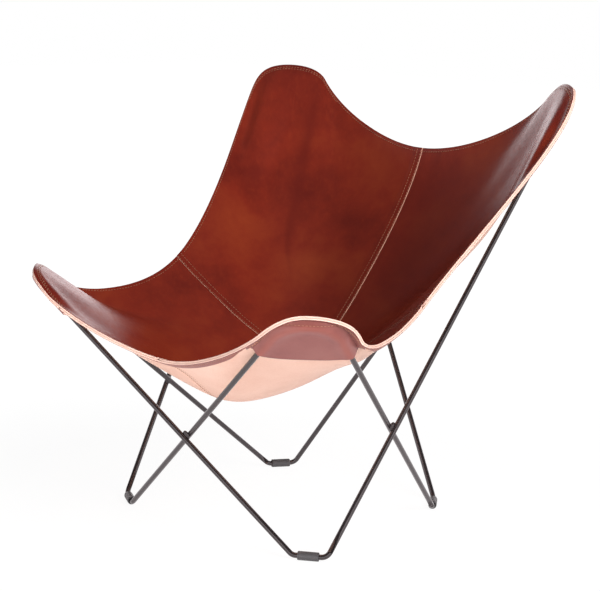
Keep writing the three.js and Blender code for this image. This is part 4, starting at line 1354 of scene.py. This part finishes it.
rightFront, rightBack = pocketColumns[1, "front"], pocketColumns[1, "back"]
leftFront, leftBack = ([ringCount - k for k in pocketColumns[-1, end]] for end in ("front", "back"))
stripPlan = {
    "right": (rightFront[1], rightBack[0], ("panel_front_right", "panel_back_right")),
    "back": (rightBack[1], leftBack[1], ("panel_back_right", "panel_back_left")),
    "left": (leftBack[0], leftFront[1], ("panel_back_left", "panel_front_left")),
    "front": (leftFront[0], ringCount + rightFront[0], ("panel_front_left", "panel_front_right")),
}
for name, plan in stripPlan.items():
    makeStrip(name, *plan)
print("strips made")

threads = {
    "length": 4.7,
    "gap": 2.1,
    "radius": 0.55,
    "rise": 0.75,
    "sink": 1.5,
    "endFill": 1.02,
    "endLeast": 0.05,
    "stations": 7,
    "sides": 6,
    "firstRow": 4,
    "seamEnd": 0.55,
    "sunkBelow": 0.4,
}


# Stitches along a line: each a short round thread that rises from one hole and dips in the next,
# its height a fourth power and its radius an eighth power of the place u along it, from -1 to 1.
def stitchPoints(line, normals):
    length = lengthAlong(line)
    pitch = threads["length"] + threads["gap"]
    count = max(int(length[-1] / pitch), 1)
    starts = (length[-1] - count * pitch) / 2 + pitch * np.arange(count) + threads["gap"] / 2
    u = np.linspace(-1, 1, threads["stations"])
    at = starts[:, None] + threads["length"] * (u[None] + 1) / 2
    index = np.interp(at.ravel(), length, np.arange(len(line)))
    path = smoothRead(line[None], index[None])[0].reshape(count, len(u), 3)
    up = unit(smoothRead(normals[None], index[None])[0]).reshape(count, len(u), 3)
    side = unit(np.cross(unit(np.gradient(path, axis=1)), up))
    height = threads["radius"] * (threads["rise"] - threads["sink"] * u**4)[None, :, None]
    middle = path + up * height
    radius = threads["radius"] * np.sqrt(np.clip(threads["endFill"] - u**8, threads["endLeast"], 1))
    turn = circle(threads["sides"])[:, None]
    ring = np.cos(turn) * side[:, :, None] + np.sin(turn) * up[:, :, None]
    return middle[:, :, None] + radius[None, :, None, None] * ring


# All stitches of some lines in one piece: rings joined to tubes and closed at both ends.
def makeStitches(name, slot, lines):
    rings = np.concatenate([stitchPoints(line, normals) for line, normals in lines])
    count, stations, sides = rings.shape[:3]
    quads = outward(rings[0], gridFaces(stations, sides, closeColumns=True).tolist())
    ends = [list(range(sides)), list(range((stations - 1) * sides, stations * sides))]
    start = rings[0, 0, 0]
    square = np.cross(rings[0, 0, 1] - start, rings[0, 0, 2] - start)
    ends = [ends[0][::-1], ends[1]] if square @ (rings[0, 1, 0] - start) > 0 else [ends[0], ends[1][::-1]]
    offsets = stations * sides * np.arange(count)
    faces = (np.array(quads)[None] + offsets[:, None, None]).reshape(-1, 4).tolist()
    for face in ends:
        faces += (np.array(face)[None] + offsets[:, None]).tolist()
    addPiece(makeMesh(name, rings, faces, [threadFinish]), slot)


# The row at a distance from the free edge, on the grain side or below what is sewn on.
def rimLine(depth, columns, offset, below=False):
    r = int(np.abs(borderRows - depth).argmin())
    columns = np.asarray(columns) % ringCount
    up = rowNormals[r, columns]
    return rowPoints[r, columns] + up * offset, -up if below else up


# The row at a distance from a seam, on the grain side or on the flesh side below it.
def seamLine(knot, direction, distance, below=False):
    places = ringPlaces(knot % (2 * knotCount), [direction * distance])
    keep = slice(threads["firstRow"], int((rowScale >= threads["seamEnd"]).sum()))
    points = smoothRead(ringPoints, places)[keep, 0]
    up = unit(smoothRead(ringNormals, places))[keep, 0]
    if below:
        return points - up * (leather["thickness"] - threads["sunkBelow"]), -up
    return points + up * (laps["rise"] - leather["stitchDip"]), up


seamsPlan = {5: -1, 9: 1, 13: -1, 18: -1}  # knot of each seam, and the side on which the upper panel lies
thick, dip = leather["thickness"], leather["stitchDip"]
edgeLines = [rimLine(leather["stitchRow"], np.arange(ringCount + 1), -dip)]
for (side, end), (first, last) in pocketColumns.items():
    columns = halfIndex(side, np.arange(first + 1, last))
    edgeLines.append(rimLine(leather["pocketStitchRow"], columns, -dip))
makeStitches("edge_stitches", "sling", edgeLines)
seamRows = [(k, d, w) for k, d in seamsPlan.items() for w in (laps["stitchNear"], laps["stitchFar"])]
makeStitches("seam_stitches", "sling", [seamLine(*row, below) for below in (False, True) for row in seamRows])
facingLines = []
for start, end, _ in stripPlan.values():
    facingLines.append(rimLine(leather["stitchRow"], np.arange(start + 1, end), -2 * thick + dip, below=True))
makeStitches("facing_stitches", "strip", facingLines)
pocketLines = []
for lower, normal, rows in pocketFaces.values():
    for depth in (leather["stitchRow"], leather["pocketStitchRow"]):
        at = np.array([np.interp(depth, row, np.arange(len(row))) for row in rows])[1:-1, None]
        pocketLines.append((smoothRead(lower[1:-1], at)[:, 0], -unit(smoothRead(normal[1:-1], at)[:, 0])))
makeStitches("pouch_stitches", "pocket", pocketLines)
print("stitches made")

# Floor, light and camera. The stage and the lamps are in metres and watts, the camera in millimetres.
stage = {
    "floorSize": 14.0,
    "floorShade": 0.86,
    "floorRoughness": 0.9,
    "floorDrop": 0.0004,
    "shadow": 0.12,
    "shadowReach": (0.7, 1.9),
    "glow": 1.06,
    "ambient": 0.11,
    "ambientTint": (0.94, 0.96, 1.0),
    "frontReflection": 0.1,
    "backReflection": 2.8,
    "bandReflection": 2.8,
    "reflectionTint": (1.0, 0.94, 0.96),
    "aroundStops": ((0.03, 0.0), (0.2, 0.5), (0.45, 0.33), (0.66, 0.42), (0.86, 1.0)),
    "aroundHeights": (0.25, 0.55),
    "bandStops": ((0.0, 0.0), (0.1, 1.0), (0.18, 1.0), (0.45, 0.0)),
    "bandFacing": (-0.3, 0.1),
}
lamps = {
    "key": {"place": (2.85, -0.55, 1.9), "target": (0, 0, 0.5), "size": (1.6, 1.6), "power": 100},
    "top": {"place": (-0.2, -0.4, 3.3), "target": (0, 0, 0.5), "size": (2.4, 2.0), "power": 7},
    "under": {"place": (0, 0, 0.004), "target": (0, 0, 0.5), "size": (2.2, 2.2), "power": 3.5},
    "front": {"place": (0.15, -1.25, 0.1), "target": (0, -0.4, 0.42), "size": (2.2, 0.35), "power": 14},
    "back": {"place": (-1.3, 1.5, 0.45), "target": (0, 0.1, 0.5), "size": (1.8, 0.8), "power": 13},
}
camera = {
    "azimuth": 41.0,
    "elevation": 10.4,
    "roll": 1.57,
    "distance": 3590.69,
    "lens": 102.65,
    "sensor": 36,
    "target": (5.47, 0, 458.43),
}


# Plain floor that the camera sees as white, but for the soft shadow close to the chair.
def makeFloor():
    s = stage["floorSize"] / millimetre
    corners = [(-s, -s, 0), (s, -s, 0), (s, s, 0), (-s, s, 0)]
    floor = makeMesh("floor", corners, [(0, 1, 2, 3)], [], smooth=False)
    floor.location.z = -stage["floorDrop"]
    material, tree, shader, place = newMaterial("floor_white")
    shade = stage["floorShade"]
    rough = stage["floorRoughness"]
    setInputs(tree, shader, {"Base Color": (shade, shade, shade, 1), "Roughness": rough})
    path = addNode(tree, "ShaderNodeLightPath")
    tint = blendColour(tree, path.outputs["Is Glossy Ray"], (1, 1, 1), stage["reflectionTint"])
    glow = addNode(tree, "ShaderNodeEmission", {"Color": tint, "Strength": stage["glow"]})
    away = addNode(tree, "ShaderNodeVectorMath", {0: place}, operation="LENGTH").outputs["Value"]
    white = rangeOf(tree, away, 1 - stage["shadow"], 1.0, *stage["shadowReach"])
    direct = mathOf(tree, "MAXIMUM", path.outputs["Is Camera Ray"], path.outputs["Is Glossy Ray"])
    mixed = {0: mathOf(tree, "MULTIPLY", direct, white), 1: shader.outputs[0], 2: glow.outputs[0]}
    mix = addNode(tree, "ShaderNodeMixShader", mixed)
    tree.links.new(mix.outputs[0], tree.nodes["Material Output"].inputs["Surface"])
    floor.data.materials.append(material)


# Soft light from all round, and a white backdrop behind the chair that gloss picks up: one ramp
# over how far the direction points away from the camera, and one over its height.
def makeWorld():
    world = bpy.data.worlds.new("studio")
    bpy.context.scene.world = world
    world.use_nodes = True
    tree = world.node_tree
    ambient = tree.nodes["Background"]
    ambientColour = (*stage["ambientTint"], 1)
    setInputs(tree, ambient, {"Color": ambientColour, "Strength": stage["ambient"]})
    a = math.radians(camera["azimuth"])
    way = addNode(tree, "ShaderNodeTexCoord").outputs["Generated"]
    toBack = {0: way, 1: (-math.sin(a), math.cos(a), 0.0)}
    behind = addNode(tree, "ShaderNodeVectorMath", toBack, operation="DOT_PRODUCT").outputs["Value"]
    height = heightOf(tree, way)

    def greyRamp(factor, stops):  # each grey as a colour
        return addRamp(tree, factor, [(place, (grey, grey, grey)) for place, grey in stops])

    low = rangeOf(tree, height, 1.0, 0.0, *stage["aroundHeights"])
    around = mathOf(tree, "MULTIPLY", greyRamp(behind, stage["aroundStops"]), low)
    backdrop = rangeOf(tree, around, stage["frontReflection"], stage["backReflection"])
    facing = rangeOf(tree, behind, 1.0, 0.0, *stage["bandFacing"])
    band = mathOf(tree, "MULTIPLY", greyRamp(height, stage["bandStops"]), facing)
    backdrop = mathOf(tree, "ADD", backdrop, mathOf(tree, "MULTIPLY", band, stage["bandReflection"]))
    tint = (*stage["reflectionTint"], 1)
    reflected = addNode(tree, "ShaderNodeBackground", {"Color": tint, "Strength": backdrop})
    white = addNode(tree, "ShaderNodeBackground", {"Color": (1, 1, 1, 1), "Strength": 1.0})
    path = addNode(tree, "ShaderNodeLightPath")
    glossy = {0: path.outputs["Is Glossy Ray"], 1: ambient.outputs[0], 2: reflected.outputs[0]}
    gloss = addNode(tree, "ShaderNodeMixShader", glossy)
    through = mathOf(tree, "MAXIMUM", path.outputs["Is Camera Ray"], path.outputs["Is Transmission Ray"])
    mix = addNode(tree, "ShaderNodeMixShader", {0: through, 1: gloss.outputs[0], 2: white.outputs[0]})
    tree.links.new(mix.outputs[0], tree.nodes["World Output"].inputs["Surface"])


def placed(right, up, back, place):  # the matrix whose columns are three axes and a place
    m = np.eye(4)
    m[:3, 0], m[:3, 1], m[:3, 2], m[:3, 3] = right, up, back, place
    return Matrix(m.tolist())


# A rectangular lamp that faces its target, unseen by the camera and by gloss.
def addSoftbox(name, place, target, size, power):
    light = bpy.data.lights.new(name, "AREA")
    light.shape = "RECTANGLE"
    light.size, light.size_y = size
    light.energy = power
    lamp = bpy.data.objects.new(name, light)
    lamp.visible_camera = False
    lamp.visible_glossy = False
    back = unit(vec(place) - vec(target))
    upright = abs(back[2]) >= 0.99  # where no level way is square to it
    right = vec((1, 0, 0)) if upright else unit(np.cross(vec((0, 0, 1)), back))
    lamp.matrix_world = placed(right, np.cross(back, right), back, vec(place))
    bpy.context.collection.objects.link(lamp)


# The photograph's viewpoint: a direction from azimuth and elevation, then rolled.
def makeCamera():
    a, e, r = (math.radians(camera[k]) for k in ("azimuth", "elevation", "roll"))
    back = vec((math.sin(a) * math.cos(e), -math.cos(a) * math.cos(e), math.sin(e)))
    right = vec((math.cos(a), math.sin(a), 0))
    up = np.cross(back, right)
    rolledRight = right * math.cos(r) + up * math.sin(r)
    rolledUp = -right * math.sin(r) + up * math.cos(r)
    place = (vec(camera["target"]) + chairShift + back * camera["distance"]) * millimetre
    data = bpy.data.cameras.new("photo_camera")
    data.lens = camera["lens"]
    data.sensor_width = camera["sensor"]
    view = bpy.data.objects.new("photo_camera", data)
    view.matrix_world = placed(rolledRight, rolledUp, back, place)
    bpy.context.collection.objects.link(view)
    bpy.context.scene.camera = view


makeFloor()
makeWorld()
for name, lamp in lamps.items():
    addSoftbox(name, **lamp)
makeCamera()
bpy.context.scene.view_settings.view_transform = "Standard"
print("stage set")
